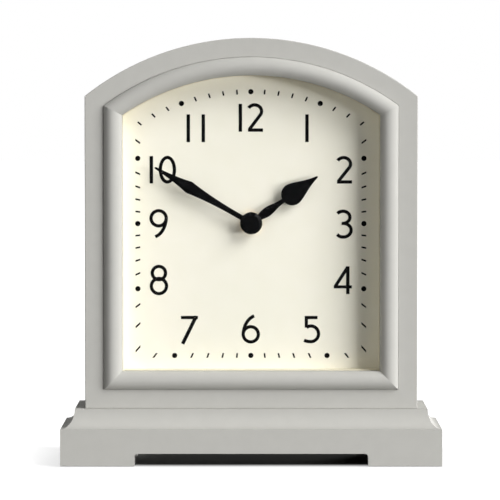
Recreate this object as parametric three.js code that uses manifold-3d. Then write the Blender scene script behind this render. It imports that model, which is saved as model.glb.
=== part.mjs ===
// Arch-topped desk clock in painted wood, with a glazed dial and a battery quartz movement.
// Millimetres, +Z up, the dial faces -Y. The origin is the middle of the footprint, on the table.
import * as THREE from 'three';
import { mergeVertices } from 'three/addons/utils/BufferGeometryUtils.js';
import Module from 'manifold-3d';

const wasm = await Module();
wasm.setup();

// Case
const clockHeight = 230;
const caseWidth = 179.2;
const caseDepth = 44;
const archRise = 31.3; // from the shoulders to the crown
const shellThickness = 7; // sides, bent arch and floor board
const frameBorder = 10.3; // flat face left round the moulding
const jointGap = 0.1; // glue line between mitred pieces

// Plinth
const plinthHeight = 30.4;
const plinthLedge = 5.4; // flat top left round the case
const coveWidth = 7.5;
const coveHeight = 10.3;
const deckThickness = 8;
const deckLap = 1.6; // how far the deck's edge hides under the case
const deckSeat = 3.5; // width of the rail's ledge under the deck
const footWidth = 39.7;
const footCutHeight = 7.1;
const footCutRadius = 2;
const padRadius = 6;
const padThickness = 1.5;
const padProud = 0.3;

// Moulding, glass and dial
const mouldingWidth = 9.8;
const mouldingCrest = 4.7; // from its outer edge to its highest line
const mouldingStep = 1; // height of its outer edge over the frame
const mouldingRise = 2.4; // from the outer edge up to the crest
const mouldingDrop = 3.3; // from the crest down to the lip
const mouldingLap = 3.4; // how far it covers the frame's face
const tongueDepth = 3.1; // how far it reaches into the window
const glassThickness = 2;
const glassGap = 0.1;
const spacerReveal = 0.4; // how far the spacer's inner wall stands back from the moulding's lip
const dialThickness = 0.8;
const dialBoardThickness = 4;
const shaftDrop = 0.1; // from the window's middle down to the hands' shaft
const trackInset = 8.1; // from the moulding's lip to the minute track
const edgeGap = 0.3; // round loose boards and panes

// Back
const panelThickness = 3;
const battenSize = 9;
const battenTopGap = 3;
const accessMargin = 4; // opening round the movement

// Screws: radii of the shank, the head and its flat crown, then the heights of the head and its rim
const caseScrew = { shank: 1.9, head: 3.8, crown: 2.3, rise: 2.4, rim: 1 };
const boardScrew = { shank: 1.1, head: 2.2, crown: 1.3, rise: 1.4, rim: 0.6 };
const screwGap = 0.15;
const screwBite = 5.5; // how far a screw goes into what it holds
const screwEnd = 0.4; // empty end of a screw's hole
const caseScrewSpacing = 90;
const dialScrewInset = 22; // from the window's bottom and the shoulders to the dial screws
const backScrewInset = 16; // from the ends of a batten to its screws

// Hands and what they turn on, counted forward from the dial
const timeHours = 1;
const timeMinutes = 50;
const brassWasherThickness = 0.5;
const nutThickness = 2;
const nutCorner = 5.5;
const bushTipProud = 0.3;
const handGap = 0.7;
const hourHandThickness = 0.6;
const hourPipeProud = 0.4;
const minuteHandThickness = 0.7;
const capGap = 0.1;
const capRadius = 5.85;
const capThickness = 1.4;
const capChamfer = 0.8;
const capSocket = 0.5;
const glassClearance = 0.9; // from the cap to the glass
const handTipGap = 1.1; // from the minute hand's tip to the minute track
const hourHandShortfall = 16.3; // how much shorter the hour hand is
const handHubRadius = 4.2;
const handTipHalf = 0.45;

// Shafts, pipes and bushes by radius
const minuteArborRadius = 1.25;
const centreRearRadius = 0.8;
const arborRadius = 0.5;
const knobShaftRadius = 1.2;
const pipeWall = 0.9;
const bushWall = 0.9;
const bushFlange = 1.6; // how far the bush's flange stands out
const bushFlangeThickness = 0.8;
const runningGap = 0.15; // round everything that turns
const pivotDepth = 0.7;

// Wheels: tooth counts, modules and layers counted back from the movement's front
const trainModule = 0.32;
const motionModuleRatio = 1.4; // motion work's teeth against the train's
const pinionLeaves = 6;
const centreTeeth = 48;
const thirdTeeth = 45;
const fourthTeeth = 36;
const fifthTeeth = 30;
const cannonTeeth = 10;
const motionTeeth = 30;
const motionPinionTeeth = 8;
const hourTeeth = 32;
const motionThickness = 1;
const wheelThickness = 0.8;
const layerGap = 0.6;
const pinionSpare = 0.2; // how far a pinion runs past its mate
const clutchRadius = 2;
const thirdDirection = 50; // degrees, from each wheel to the next one
const fourthDirection = 100;
const fifthDirection = 160;
const rotorDirection = 190;

// Motor and circuit
const magnetRadius = 2.2;
const magnetThickness = 1.8;
const magnetGap = 0.4;
const statorThickness = 0.8;
const statorWeb = 0.8;
const coilDistance = 11; // from the rotor's axis to the coil's
const coilRadius = 3.4;
const coilLength = 12;
const coilRearGap = 0.5;
const coreWidth = 2;
const coreFrontHalf = 1.1;
const coreOverhang = 3;
const armClearance = 0.5; // from the coil's ends to the stator's arms
const postHalf = 1.2;
const boardThickness = 1;
const boardHeight = 20;
const boardRise = 1.5; // posts under the circuit board
const boardGap = 1;
const circuitLift = 3.4; // from the wall over the cell to the board's lower edge
const chipSize = 5;
const chipThickness = 1.2;

// Movement body
const movementWall = 1.4;
const movementFaceWall = 1.5;
const rearSpace = 1; // behind the rotor
const topSpace = 1.6; // above the coil's core
const wheelSpace = 1.7; // under the lowest wheel
const washerRadius = 6;
const washerThickness = 1;
const lidLip = 1.2;
const knobRadius = 4.5;
const knobThickness = 3.4;
const knobGap = 0.4;
const knobFlutes = 18;
const knobFluteDepth = 0.35;

// AA cell and its contacts
const cellRadius = 7.25;
const cellLength = 50.5; // over the nub
const nubRadius = 2.75;
const nubLength = 1.3;
const cellGap = 0.3;
const contactThickness = 0.5;
const contactHalf = 4;
const contactWallGap = 0.2;
const stripWidth = 2;

// Facets
const archSteps = 28;
const coveSteps = 8;
const mouldingSteps = 6; // on each side of the crest
const curveSteps = 8;
const roundSteps = 20;
const smallRoundSteps = 10;
const hexSides = 6;
const weldDistance = 1e-5;
const cutterSpare = 1; // how far a cutting body runs past the face it cuts

// Finishes: colour, roughness, metalness
const paint = [0xbbbab5, 0.5, 0];
const bareBoard = [0xa88a63, 0.8, 0];
const felt = [0x3a3a38, 0.95, 0];
const zincSteel = [0xb9bcc0, 0.4, 0.9];
const clearGlass = [0xe8f0ee, 0.05, 0];
const dialPaint = [0xf8f4e8, 0.6, 0];
const blackPaint = [0x0a0a0c, 0.35, 0.1];
const blackPlastic = [0x1b1c1e, 0.5, 0];
const whitePlastic = [0xe6e4dc, 0.5, 0];
const rubber = [0x161616, 0.9, 0];
const brass = [0xb9974f, 0.3, 0.95];
const magnet = [0x3c3a3a, 0.6, 0.2];
const iron = [0x8d8f92, 0.45, 0.9];
const copper = [0xa5592f, 0.35, 0.8];
const circuitGreen = [0x2c5a34, 0.6, 0];
const cellLabel = [0x35383d, 0.4, 0.2];

// Levels and lengths that follow from the sizes above
const caseHalf = caseWidth / 2;
const caseFront = -caseDepth / 2;
const caseBack = caseDepth / 2;
const archRadius = (caseHalf ** 2 + archRise ** 2) / (2 * archRise);
const archCentre = clockHeight - archRadius;
const plinthHalfX = caseHalf + plinthLedge + coveWidth;
const plinthHalfY = caseDepth / 2 + plinthLedge + coveWidth;
const deckInset = coveWidth + plinthLedge + deckLap;
const railThickness = deckInset + deckSeat;
const deckBottom = plinthHeight - deckThickness;

const windowInset = frameBorder + mouldingLap;
const lipInset = frameBorder + mouldingWidth;
const boardInset = shellThickness + edgeGap;

const glassFront = caseFront + tongueDepth + glassGap;
const glassBack = glassFront + glassThickness;
const capFront = glassBack + glassClearance;
const capBack = capFront + capThickness;
const arborTip = capBack - capSocket;
const minuteHandFront = capBack + capGap;
const minuteHandBack = minuteHandFront + minuteHandThickness;
const pipeTip = minuteHandBack + handGap;
const hourHandFront = pipeTip + hourPipeProud;
const hourHandBack = hourHandFront + hourHandThickness;
const bushTip = hourHandBack + handGap;
const nutFront = bushTip + bushTipProud;
const nutBack = nutFront + nutThickness;
const frameBack = nutBack + brassWasherThickness;
const boardFront = frameBack + dialThickness;
const boardBack = boardFront + dialBoardThickness;
const movementFront = boardBack + washerThickness;
const panelFront = caseBack - panelThickness;

const windowBottom = plinthHeight + lipInset;
const windowCrown = clockHeight - lipInset;
const shaftHeight = (windowBottom + windowCrown) / 2 - shaftDrop;
const trackHalfWidth = caseHalf - lipInset - trackInset;
const trackHalfHeight = shaftHeight - windowBottom - trackInset;
const minuteHandLength = Math.min(trackHalfWidth, trackHalfHeight) - handTipGap;
const hourHandLength = minuteHandLength - hourHandShortfall;

const pipeBore = minuteArborRadius + runningGap;
const pipeRadius = pipeBore + pipeWall;
const bushBore = pipeRadius + runningGap;
const bushRadius = bushBore + bushWall;

// Movement layers, from the front face back
const hourWheelFront = movementFaceWall + bushFlangeThickness + layerGap;
const hourWheelBack = hourWheelFront + motionThickness;
const motionFront = hourWheelBack + layerGap;
const motionBack = motionFront + motionThickness;
const centreFront = motionBack + layerGap;
const centreBack = centreFront + wheelThickness;
const thirdFront = centreBack + layerGap;
const fourthFront = thirdFront + wheelThickness + layerGap;
const fifthFront = fourthFront + wheelThickness + layerGap;
const magnetFront = fifthFront + wheelThickness + layerGap;
const magnetBack = magnetFront + magnetThickness;
const rearFace = magnetBack + rearSpace;
const movementDepth = rearFace + movementFaceWall;
const pivotFront = movementFaceWall - pivotDepth;
const pivotBack = rearFace + pivotDepth;
const statorFront = (magnetFront + magnetBack - statorThickness) / 2;
const coilLayer = rearFace - coilRearGap - coilRadius;

// Wheel centres seen from the front, x to the right and z up, from the shaft
function stepFrom(start, distance, degrees) {
  const angle = THREE.MathUtils.degToRad(degrees);
  return { x: start.x + distance * Math.cos(angle), z: start.z + distance * Math.sin(angle) };
}
const toothReach = 0.95; // tooth height above the pitch circle, in modules
const trainReach = (teeth) => trainModule * (teeth / 2 + toothReach);
const trainDistance = (teeth) => trainModule * (teeth + pinionLeaves) / 2;
const motionModule = trainModule * motionModuleRatio;
const motionDistance = motionModule * (cannonTeeth + motionTeeth) / 2;
const hourModule = 2 * motionDistance / (motionPinionTeeth + hourTeeth);
const shaft = { x: 0, z: 0 };
const third = stepFrom(shaft, trainDistance(centreTeeth), thirdDirection);
const fourth = stepFrom(third, trainDistance(thirdTeeth), fourthDirection);
const fifth = stepFrom(fourth, trainDistance(fourthTeeth), fifthDirection);
const rotor = stepFrom(fifth, trainDistance(fifthTeeth), rotorDirection);
const motion = stepFrom(shaft, motionDistance, 180);
const knob = stepFrom(motion, motionDistance, 180);
const coil = { x: rotor.x - coilDistance, z: rotor.z };
const coreHalf = coilLength / 2 + coreOverhang;

// The body closes round the cell, the wheels and the coil
const contactRoom = cellGap + contactThickness + contactWallGap;
const innerHalfX = Math.max(cellLength / 2 + contactRoom, coilRadius + boardGap - coil.x);
const innerTop = Math.max(coil.z + coreHalf, fifth.z + trainReach(fifthTeeth)) + topSpace;
const bayTopFace = -trainReach(centreTeeth) - wheelSpace;
const bayCeiling = bayTopFace - movementWall;
const bayFloor = bayCeiling - 2 * (cellRadius + cellGap);
const cellCentre = { v: movementFaceWall + cellGap + cellRadius, z: bayFloor + cellGap + cellRadius };
const bodyHalfX = innerHalfX + movementWall;
const bodyTop = innerTop + movementWall;
const bodyBottom = bayFloor - movementWall;
const thirdRight = third.x + trainReach(thirdTeeth);
const fourthRight = fourth.x + trainReach(fourthTeeth);
const circuitLeft = Math.max(thirdRight, fourthRight) + boardGap;
const circuitRight = cellLength / 2 + cellGap - contactWallGap;
const circuitBottom = bayTopFace + circuitLift;
const circuitFront = movementFaceWall + boardRise;

// Solids
function toSolid(geometry) {
  const bare = geometry.clone();
  bare.deleteAttribute('normal');
  bare.deleteAttribute('uv');
  const merged = mergeVertices(bare, weldDistance);
  const corners = merged.index.array;
  const triangles = [];
  for (let i = 0; i < corners.length; i += 3) {
    const [a, b, c] = [corners[i], corners[i + 1], corners[i + 2]];
    if (a !== b && b !== c && c !== a) {
      triangles.push(a, b, c);
    }
  }
  return new wasm.Manifold(new wasm.Mesh({
    numProp: 3,
    vertProperties: Float32Array.from(merged.attributes.position.array),
    triVerts: Uint32Array.from(triangles),
  }));
}

function toGeometry(solid) {
  const { vertProperties, triVerts } = solid.getMesh();
  const geometry = new THREE.BufferGeometry();
  geometry.setAttribute('position', new THREE.BufferAttribute(vertProperties, 3));
  geometry.setIndex(new THREE.BufferAttribute(triVerts, 1));
  geometry.computeVertexNormals();
  return geometry;
}

function join(first, ...others) {
  return toGeometry(others.reduce((whole, piece) => whole.add(toSolid(piece)), toSolid(first)));
}

function cut(body, ...tools) {
  return toGeometry(tools.reduce((whole, tool) => whole.subtract(toSolid(tool)), toSolid(body)));
}

// A plate whose outline lies in the XZ plane, from y = front to y = back
function plate(outline, front, back, holes = []) {
  const shape = new THREE.Shape(outline);
  shape.holes = holes.map((points) => new THREE.Path(points));
  const geometry = new THREE.ExtrudeGeometry(shape, { depth: back - front, bevelEnabled: false });
  geometry.rotateX(Math.PI / 2);
  geometry.translate(0, back, 0);
  return geometry;
}

function box(x0, x1, y0, y1, z0, z1) {
  const geometry = new THREE.BoxGeometry(x1 - x0, y1 - y0, z1 - z0);
  geometry.translate((x0 + x1) / 2, (y0 + y1) / 2, (z0 + z1) / 2);
  return geometry;
}

// A rod along Y
function rod(radius, front, back, x = 0, z = 0, steps = smallRoundSteps) {
  const geometry = new THREE.CylinderGeometry(radius, radius, back - front, steps);
  geometry.translate(x, (front + back) / 2, z);
  return geometry;
}

// A body turned about Y from pairs of radius and y
function turned(profile, steps) {
  return new THREE.LatheGeometry(profile.map(([radius, y]) => new THREE.Vector2(radius, y)), steps);
}

// A ring along Y
function ring(outer, bore, front, back, steps = roundSteps) {
  return turned([[bore, front], [outer, front], [outer, back], [bore, back], [bore, front]], steps);
}

function circle(radius, steps, x = 0, z = 0) {
  const points = [];
  for (let i = 0; i < steps; i += 1) {
    const angle = 2 * Math.PI * i / steps;
    points.push(new THREE.Vector2(x + radius * Math.cos(angle), z + radius * Math.sin(angle)));
  }
  return points;
}

function rectangle(x0, x1, z0, z1) {
  return [[x0, z0], [x1, z0], [x1, z1], [x0, z1]].map(([x, z]) => new THREE.Vector2(x, z));
}

// A closed body through matching sections, with both ends capped
function loft(sections, profile) {
  const count = profile.length;
  const corners = sections.flat();
  const triangles = [];
  for (let s = 0; s + 1 < sections.length; s += 1) {
    for (let i = 0; i < count; i += 1) {
      const here = s * count + i;
      const next = s * count + (i + 1) % count;
      triangles.push(here, next, next + count, here, next + count, here + count);
    }
  }
  const lastSection = (sections.length - 1) * count;
  for (const [a, b, c] of THREE.ShapeUtils.triangulateShape(profile, [])) {
    triangles.push(c, b, a, lastSection + a, lastSection + b, lastSection + c);
  }
  const geometry = new THREE.BufferGeometry().setFromPoints(corners);
  geometry.setIndex(triangles);
  geometry.computeVertexNormals();
  return geometry;
}

const archSweep = (inset) => Math.asin((caseHalf - inset) / (archRadius - inset));
const shoulderHeight = (inset) => archCentre + (archRadius - inset) * Math.cos(archSweep(inset));

function archPoint(inset, angle) {
  const radius = archRadius - inset;
  return new THREE.Vector2(radius * Math.sin(angle), archCentre + radius * Math.cos(angle));
}

function archCurve(inset) {
  const sweep = archSweep(inset);
  const points = [];
  for (let i = 0; i <= archSteps; i += 1) {
    points.push(archPoint(inset, sweep * (1 - 2 * i / archSteps)));
  }
  return points;
}

// The case's outline moved inward by an inset
function archOutline(inset) {
  const half = caseHalf - inset;
  const bottom = plinthHeight + inset;
  return [new THREE.Vector2(-half, bottom), new THREE.Vector2(half, bottom), ...archCurve(inset)];
}

const clock = new THREE.Group();

function add(name, geometry, [color, roughness, metalness], place = {}) {
  const material = new THREE.MeshStandardMaterial({ color, roughness, metalness });
  const mesh = new THREE.Mesh(geometry, material);
  mesh.name = name;
  mesh.position.set(place.x ?? 0, place.y ?? 0, place.z ?? 0);
  mesh.rotation.set(place.turnX ?? 0, place.turnY ?? 0, place.turnZ ?? 0);
  (place.parent ?? clock).add(mesh);
}

// Plinth: four rails with a cove along the top, drawn as distance in from the outer face, and height
function railProfile() {
  const points = [new THREE.Vector2(0, padProud)];
  for (let i = 0; i <= coveSteps; i += 1) {
    const angle = Math.PI / 2 * (1 - i / coveSteps);
    points.push(new THREE.Vector2(coveWidth * Math.cos(angle), plinthHeight - coveHeight * Math.sin(angle)));
  }
  points.push(
    new THREE.Vector2(deckInset, plinthHeight),
    new THREE.Vector2(deckInset, deckBottom),
    new THREE.Vector2(railThickness, deckBottom),
    new THREE.Vector2(railThickness, padProud),
  );
  return points.reverse();
}

function rail(halfLength, halfDistance) {
  const profile = railProfile();
  const end = (side) => profile.map(({ x, y }) => (
    new THREE.Vector3(side * (halfLength - x - jointGap), x - halfDistance, y)));
  return loft([end(-1), end(1)], profile);
}

const footCutHalf = plinthHalfX - footWidth;
const padX = (plinthHalfX - railThickness / 2 + footCutHalf) / 2;
const padY = plinthHalfY - railThickness / 2;

function footCut() {
  const top = footCutHeight;
  const shape = new THREE.Path();
  shape.moveTo(-footCutHalf, -top);
  shape.lineTo(footCutHalf, -top);
  shape.lineTo(footCutHalf, top - footCutRadius);
  shape.absarc(footCutHalf - footCutRadius, top - footCutRadius, footCutRadius, 0, Math.PI / 2);
  shape.absarc(footCutRadius - footCutHalf, top - footCutRadius, footCutRadius, Math.PI / 2, Math.PI);
  const middle = -plinthHalfY + railThickness / 2;
  return plate(shape.getPoints(coveSteps / 2), middle - railThickness, middle + railThickness);
}

function pad(radius, bottom) {
  const geometry = new THREE.CylinderGeometry(radius, radius, padThickness, roundSteps);
  geometry.rotateX(Math.PI / 2);
  geometry.translate(0, 0, bottom + padThickness / 2);
  return geometry;
}

function footedRail() {
  const pockets = [-1, 1].map((side) => pad(padRadius + edgeGap, 0).translate(side * padX, -padY, 0));
  return cut(rail(plinthHalfX, plinthHalfY), footCut(), ...pockets);
}

add('plinth_front_rail', footedRail(), paint);
add('plinth_back_rail', footedRail(), paint, { turnZ: Math.PI });
add('plinth_left_rail', rail(plinthHalfY, plinthHalfX), paint, { turnZ: -Math.PI / 2 });
add('plinth_right_rail', rail(plinthHalfY, plinthHalfX), paint, { turnZ: Math.PI / 2 });
for (const [depthName, ySide] of [['front', -1], ['back', 1]]) {
  for (const [sideName, xSide] of [['left', -1], ['right', 1]]) {
    add(`felt_pad_${depthName}_${sideName}`, pad(padRadius, 0), felt, { x: xSide * padX, y: ySide * padY });
  }
}

// Screws point along +Y with the underside of the head at y = 0
function screw({ shank, head, crown, rise, rim }, length) {
  return turned([[0, -rise], [crown, -rise], [head, -rim], [head, 0], [shank, 0],
    [shank, length - shank], [0, length]], smallRoundSteps);
}

function upright(geometry) {
  return geometry.rotateX(Math.PI / 2);
}

const caseScrewX = caseScrewSpacing / 2;
const caseScrewBite = shellThickness - 2 * screwEnd;
const caseFloorY = (frameBack + caseBack) / 2;

function caseScrewHoles() {
  const length = deckThickness + caseScrewBite + screwEnd;
  const hole = () => upright(rod(caseScrew.shank + screwGap, -screwEnd, length));
  return [-1, 1].map((side) => hole().translate(side * caseScrewX, caseFloorY, deckBottom));
}

function deck() {
  const halfX = plinthHalfX - deckInset - edgeGap;
  const halfY = plinthHalfY - deckInset - edgeGap;
  return cut(box(-halfX, halfX, -halfY, halfY, deckBottom, plinthHeight), ...caseScrewHoles());
}

add('plinth_deck', deck(), bareBoard);
for (const [sideName, side] of [['left', -1], ['right', 1]]) {
  const spot = { x: side * caseScrewX, y: caseFloorY, z: deckBottom };
  add(`plinth_screw_${sideName}`, upright(screw(caseScrew, deckThickness + caseScrewBite)), zincSteel, spot);
}

// Case: front frame, two sides, the bent arch and the floor board
const dialScrewX = caseHalf - (boardInset + windowInset) / 2;
const dialScrewLevels = {
  lower: plinthHeight + windowInset + dialScrewInset,
  upper: shoulderHeight(windowInset) - dialScrewInset,
};
const dialScrewPlaces = Object.entries(dialScrewLevels).flatMap(([level, z]) => [
  { name: `${level}_left`, x: -dialScrewX, z },
  { name: `${level}_right`, x: dialScrewX, z },
]);
const dialScrewTip = frameBack - screwBite;

function frontFrame() {
  const body = plate(archOutline(0), caseFront, frameBack, [archOutline(windowInset)]);
  const holes = dialScrewPlaces.map(({ x, z }) => (
    rod(boardScrew.shank + screwGap, dialScrewTip - screwEnd, frameBack + screwEnd, x, z)));
  return cut(body, ...holes);
}

function caseSide(side) {
  const outer = side * caseHalf;
  const inner = side * (caseHalf - shellThickness);
  const outline = [
    new THREE.Vector2(outer, plinthHeight),
    new THREE.Vector2(inner, plinthHeight),
    new THREE.Vector2(inner, shoulderHeight(shellThickness) - jointGap),
    new THREE.Vector2(outer, shoulderHeight(0) - jointGap),
  ];
  return plate(outline, frameBack, caseBack);
}

add('case_front_frame', frontFrame(), paint);
add('case_left_side', caseSide(-1), paint);
add('case_right_side', caseSide(1), paint);
const archBand = [...archCurve(0), ...archCurve(shellThickness).reverse()];
add('case_arch', plate(archBand, frameBack, caseBack), paint);

function caseFloor() {
  const half = caseHalf - shellThickness;
  const body = box(-half, half, frameBack, caseBack, plinthHeight, plinthHeight + shellThickness);
  return cut(body, ...caseScrewHoles());
}
add('case_floor', caseFloor(), paint);

// An arc that leaves a crest level and falls by a drop over a width, as pairs of distance and fall
function crestArc(width, drop) {
  const radius = (width ** 2 + drop ** 2) / (2 * drop);
  const sweep = 2 * Math.atan(drop / width);
  const points = [];
  for (let i = 0; i <= mouldingSteps; i += 1) {
    const angle = sweep * i / mouldingSteps;
    points.push([radius * Math.sin(angle), radius * (1 - Math.cos(angle))]);
  }
  return points;
}

// Moulding: a rounded face over a lap on the frame and a tongue in the window, drawn as inset and depth
function mouldingProfile() {
  const crest = frameBorder + mouldingCrest;
  const top = caseFront - mouldingStep - mouldingRise;
  const tongueBack = caseFront + tongueDepth;
  const outer = crestArc(mouldingCrest, mouldingRise).reverse();
  const inner = crestArc(mouldingWidth - mouldingCrest, mouldingDrop).slice(1);
  const points = [
    new THREE.Vector2(frameBorder, caseFront),
    ...outer.map(([away, fall]) => new THREE.Vector2(crest - away, top + fall)),
    ...inner.map(([away, fall]) => new THREE.Vector2(crest + away, top + fall)),
  ];
  points.push(
    new THREE.Vector2(lipInset, tongueBack),
    new THREE.Vector2(windowInset + edgeGap, tongueBack),
    new THREE.Vector2(windowInset + edgeGap, caseFront),
  );
  return points;
}

function mouldingSide(side) {
  const profile = mouldingProfile();
  const lower = ({ x, y }) => new THREE.Vector3(side * (caseHalf - x), y, plinthHeight + x + jointGap);
  const upper = ({ x, y }) => new THREE.Vector3(side * (caseHalf - x), y, shoulderHeight(x) - jointGap);
  const ends = [profile.map(lower), profile.map(upper)];
  return loft(side < 0 ? ends : ends.reverse(), profile);
}

function mouldingBottom() {
  const profile = mouldingProfile();
  const end = (side) => profile.map(({ x, y }) => (
    new THREE.Vector3(side * (caseHalf - x - jointGap), y, plinthHeight + x)));
  return loft([end(1), end(-1)], profile);
}

function mouldingArch() {
  const profile = mouldingProfile();
  const sections = [];
  for (let i = 0; i <= archSteps; i += 1) {
    const turn = 2 * i / archSteps - 1;
    sections.push(profile.map((point) => {
      const { x, y } = archPoint(point.x, archSweep(point.x) * turn);
      return new THREE.Vector3(x, point.y, y);
    }));
  }
  return loft(sections, profile);
}

add('moulding_left', mouldingSide(-1), paint);
add('moulding_right', mouldingSide(1), paint);
add('moulding_bottom', mouldingBottom(), paint);
add('moulding_arch', mouldingArch(), paint);

// Glass, spacer and dial
const paneOutline = archOutline(windowInset + edgeGap);
const bushHole = circle(bushRadius + edgeGap, roundSteps, 0, shaftHeight);
const dialHoles = [bushHole, ...dialScrewPlaces.map(({ x, z }) => (
  circle(boardScrew.shank + screwGap, smallRoundSteps, x, z)))];

add('glass_pane', plate(paneOutline, glassFront, glassBack), clearGlass);
add('dial_spacer', plate(paneOutline, glassBack + glassGap, frameBack,
  [archOutline(lipInset + spacerReveal)]), dialPaint);
add('dial_plate', plate(archOutline(boardInset), frameBack, boardFront, dialHoles), dialPaint);
add('dial_board', plate(archOutline(boardInset), boardFront, boardBack, dialHoles), bareBoard);
for (const { name, x, z } of dialScrewPlaces) {
  const geometry = screw(boardScrew, boardBack - dialScrewTip);
  add(`dial_screw_${name}`, geometry, zincSteel, { x, y: boardBack, z, turnZ: Math.PI });
}

// Back: two battens inside the sides, and the panel screwed to them
const battenBottom = plinthHeight + shellThickness;
const battenTop = shoulderHeight(shellThickness) - battenTopGap;
const battenX = caseHalf - shellThickness - battenSize / 2;
const backScrewLevels = { lower: battenBottom + backScrewInset, upper: battenTop - backScrewInset };
const backScrewTip = panelFront - screwBite;

function backScrewHoles(x) {
  return Object.values(backScrewLevels).map((z) => (
    rod(boardScrew.shank + screwGap, backScrewTip - screwEnd, caseBack + screwEnd, x, z)));
}

function batten(side) {
  const middle = side * battenX;
  const half = battenSize / 2;
  const front = panelFront - battenSize;
  const body = box(middle - half, middle + half, front, panelFront, battenBottom, battenTop);
  return cut(body, ...backScrewHoles(middle));
}

function backPanel() {
  const access = rectangle(
    -bodyHalfX - accessMargin,
    bodyHalfX + accessMargin,
    shaftHeight + bodyBottom - accessMargin,
    shaftHeight + bodyTop + accessMargin,
  );
  const body = plate(archOutline(boardInset), panelFront, caseBack, [access]);
  return cut(body, ...backScrewHoles(-battenX), ...backScrewHoles(battenX));
}

add('back_batten_left', batten(-1), bareBoard);
add('back_batten_right', batten(1), bareBoard);
add('back_panel', backPanel(), paint);
for (const [levelName, z] of Object.entries(backScrewLevels)) {
  for (const [sideName, side] of [['left', -1], ['right', 1]]) {
    const spot = { x: side * battenX, y: caseBack, z, turnZ: Math.PI };
    add(`back_screw_${levelName}_${sideName}`, screw(boardScrew, caseBack - backScrewTip), zincSteel, spot);
  }
}

// Movement: everything below is placed from the shaft and the movement's front face
const movement = new THREE.Group();
movement.position.set(0, movementFront, shaftHeight);
clock.add(movement);

const place = (spot, more = {}) => ({ parent: movement, x: spot.x, z: spot.z, ...more });
const fromFront = (level) => level - movementFront;

// Teeth are straight-sided, with the shares of the pitch that they fill at the root and at the tip
const wheelTooth = { drop: 1.2, root: 0.5, reach: toothReach, tip: 0.16 };
const pinionTooth = { drop: 1.2, root: 0.4, reach: 0.75, tip: 0.2 };

function toothedOutline(teeth, module, phase, tooth) {
  const pitch = 2 * Math.PI / teeth;
  const inner = module * (teeth / 2 - tooth.drop);
  const outer = module * (teeth / 2 + tooth.reach);
  const points = [];
  for (let i = 0; i < teeth; i += 1) {
    for (const [radius, share] of [
      [inner, -tooth.root / 2], [outer, -tooth.tip / 2], [outer, tooth.tip / 2], [inner, tooth.root / 2]]) {
      const angle = phase + (i + share) * pitch;
      points.push(new THREE.Vector2(radius * Math.cos(angle), radius * Math.sin(angle)));
    }
  }
  return points;
}

// Where a mate's tooth stands so that its space meets a tooth of the first wheel
function matePhase(teeth, phase, mateTeeth, from, to) {
  const direction = Math.atan2(to.z - from.z, to.x - from.x);
  const ahead = (phase - direction) * teeth / (2 * Math.PI);
  const share = ahead - Math.round(ahead);
  const matePitch = 2 * Math.PI / mateTeeth;
  return direction + Math.PI + (0.5 - share) * matePitch;
}

const arbor = () => rod(arborRadius, pivotFront, pivotBack);

// A wheel and its pinion on one arbor: the pinion reaches forward to its mate's layer
function trainWheel(teeth, front, mateFront, pinionPhase) {
  const wheel = plate(toothedOutline(teeth, trainModule, 0, wheelTooth), front, front + wheelThickness);
  const pinion = plate(toothedOutline(pinionLeaves, trainModule, pinionPhase, pinionTooth),
    mateFront - pinionSpare, front + wheelThickness / 2);
  return join(wheel, pinion, arbor());
}

function centreWheel() {
  const bore = circle(centreRearRadius + runningGap, smallRoundSteps);
  return plate(toothedOutline(centreTeeth, trainModule, 0, wheelTooth), centreFront, centreBack, [bore]);
}

function rotorBody() {
  const phase = matePhase(fifthTeeth, 0, pinionLeaves, fifth, rotor);
  const pinion = plate(toothedOutline(pinionLeaves, trainModule, phase, pinionTooth),
    fifthFront - pinionSpare, (magnetFront + magnetBack) / 2);
  return join(rod(magnetRadius, magnetFront, magnetBack, 0, 0, roundSteps), pinion, arbor());
}

add('centre_wheel', centreWheel(), whitePlastic, place(shaft));
add('third_wheel', trainWheel(thirdTeeth, thirdFront, centreFront,
  matePhase(centreTeeth, 0, pinionLeaves, shaft, third)), whitePlastic, place(third));
add('fourth_wheel', trainWheel(fourthTeeth, fourthFront, thirdFront,
  matePhase(thirdTeeth, 0, pinionLeaves, third, fourth)), whitePlastic, place(fourth));
add('fifth_wheel', trainWheel(fifthTeeth, fifthFront, fourthFront,
  matePhase(fourthTeeth, 0, pinionLeaves, fourth, fifth)), whitePlastic, place(fifth));
add('rotor', rotorBody(), magnet, place(rotor));

// Motion work: the minute arbor's pinion turns the motion wheel, whose pinion turns the hour wheel
const motionPhase = matePhase(cannonTeeth, 0, motionTeeth, shaft, motion);
const knobPhase = matePhase(motionTeeth, motionPhase, cannonTeeth, motion, knob);
const hourPhase = matePhase(motionPinionTeeth, 0, hourTeeth, motion, shaft);
const cannon = (phase) => (
  plate(toothedOutline(cannonTeeth, motionModule, phase, pinionTooth), motionFront, motionBack));

function minuteArbor() {
  const clutch = rod(clutchRadius, centreBack + runningGap, thirdFront - runningGap, 0, 0, smallRoundSteps);
  return join(
    rod(minuteArborRadius, fromFront(arborTip), (motionFront + motionBack) / 2, 0, 0, roundSteps),
    cannon(0),
    rod(centreRearRadius, motionFront, pivotBack),
    clutch,
  );
}

function motionWheel() {
  const outline = toothedOutline(motionTeeth, motionModule, motionPhase, wheelTooth);
  const wheel = plate(outline, motionFront, motionBack);
  const pinion = plate(toothedOutline(motionPinionTeeth, hourModule, 0, pinionTooth),
    hourWheelFront - pinionSpare, (motionFront + motionBack) / 2);
  return join(wheel, pinion, arbor());
}

function hourWheel() {
  const front = fromFront(pipeTip);
  const outline = toothedOutline(hourTeeth, hourModule, hourPhase, wheelTooth);
  const wheel = plate(outline, hourWheelFront, hourWheelBack);
  const pipe = rod(pipeRadius, front, (hourWheelFront + hourWheelBack) / 2, 0, 0, roundSteps);
  const bore = rod(pipeBore, front - cutterSpare, hourWheelBack + cutterSpare, 0, 0, roundSteps);
  return cut(join(wheel, pipe), bore);
}

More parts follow.
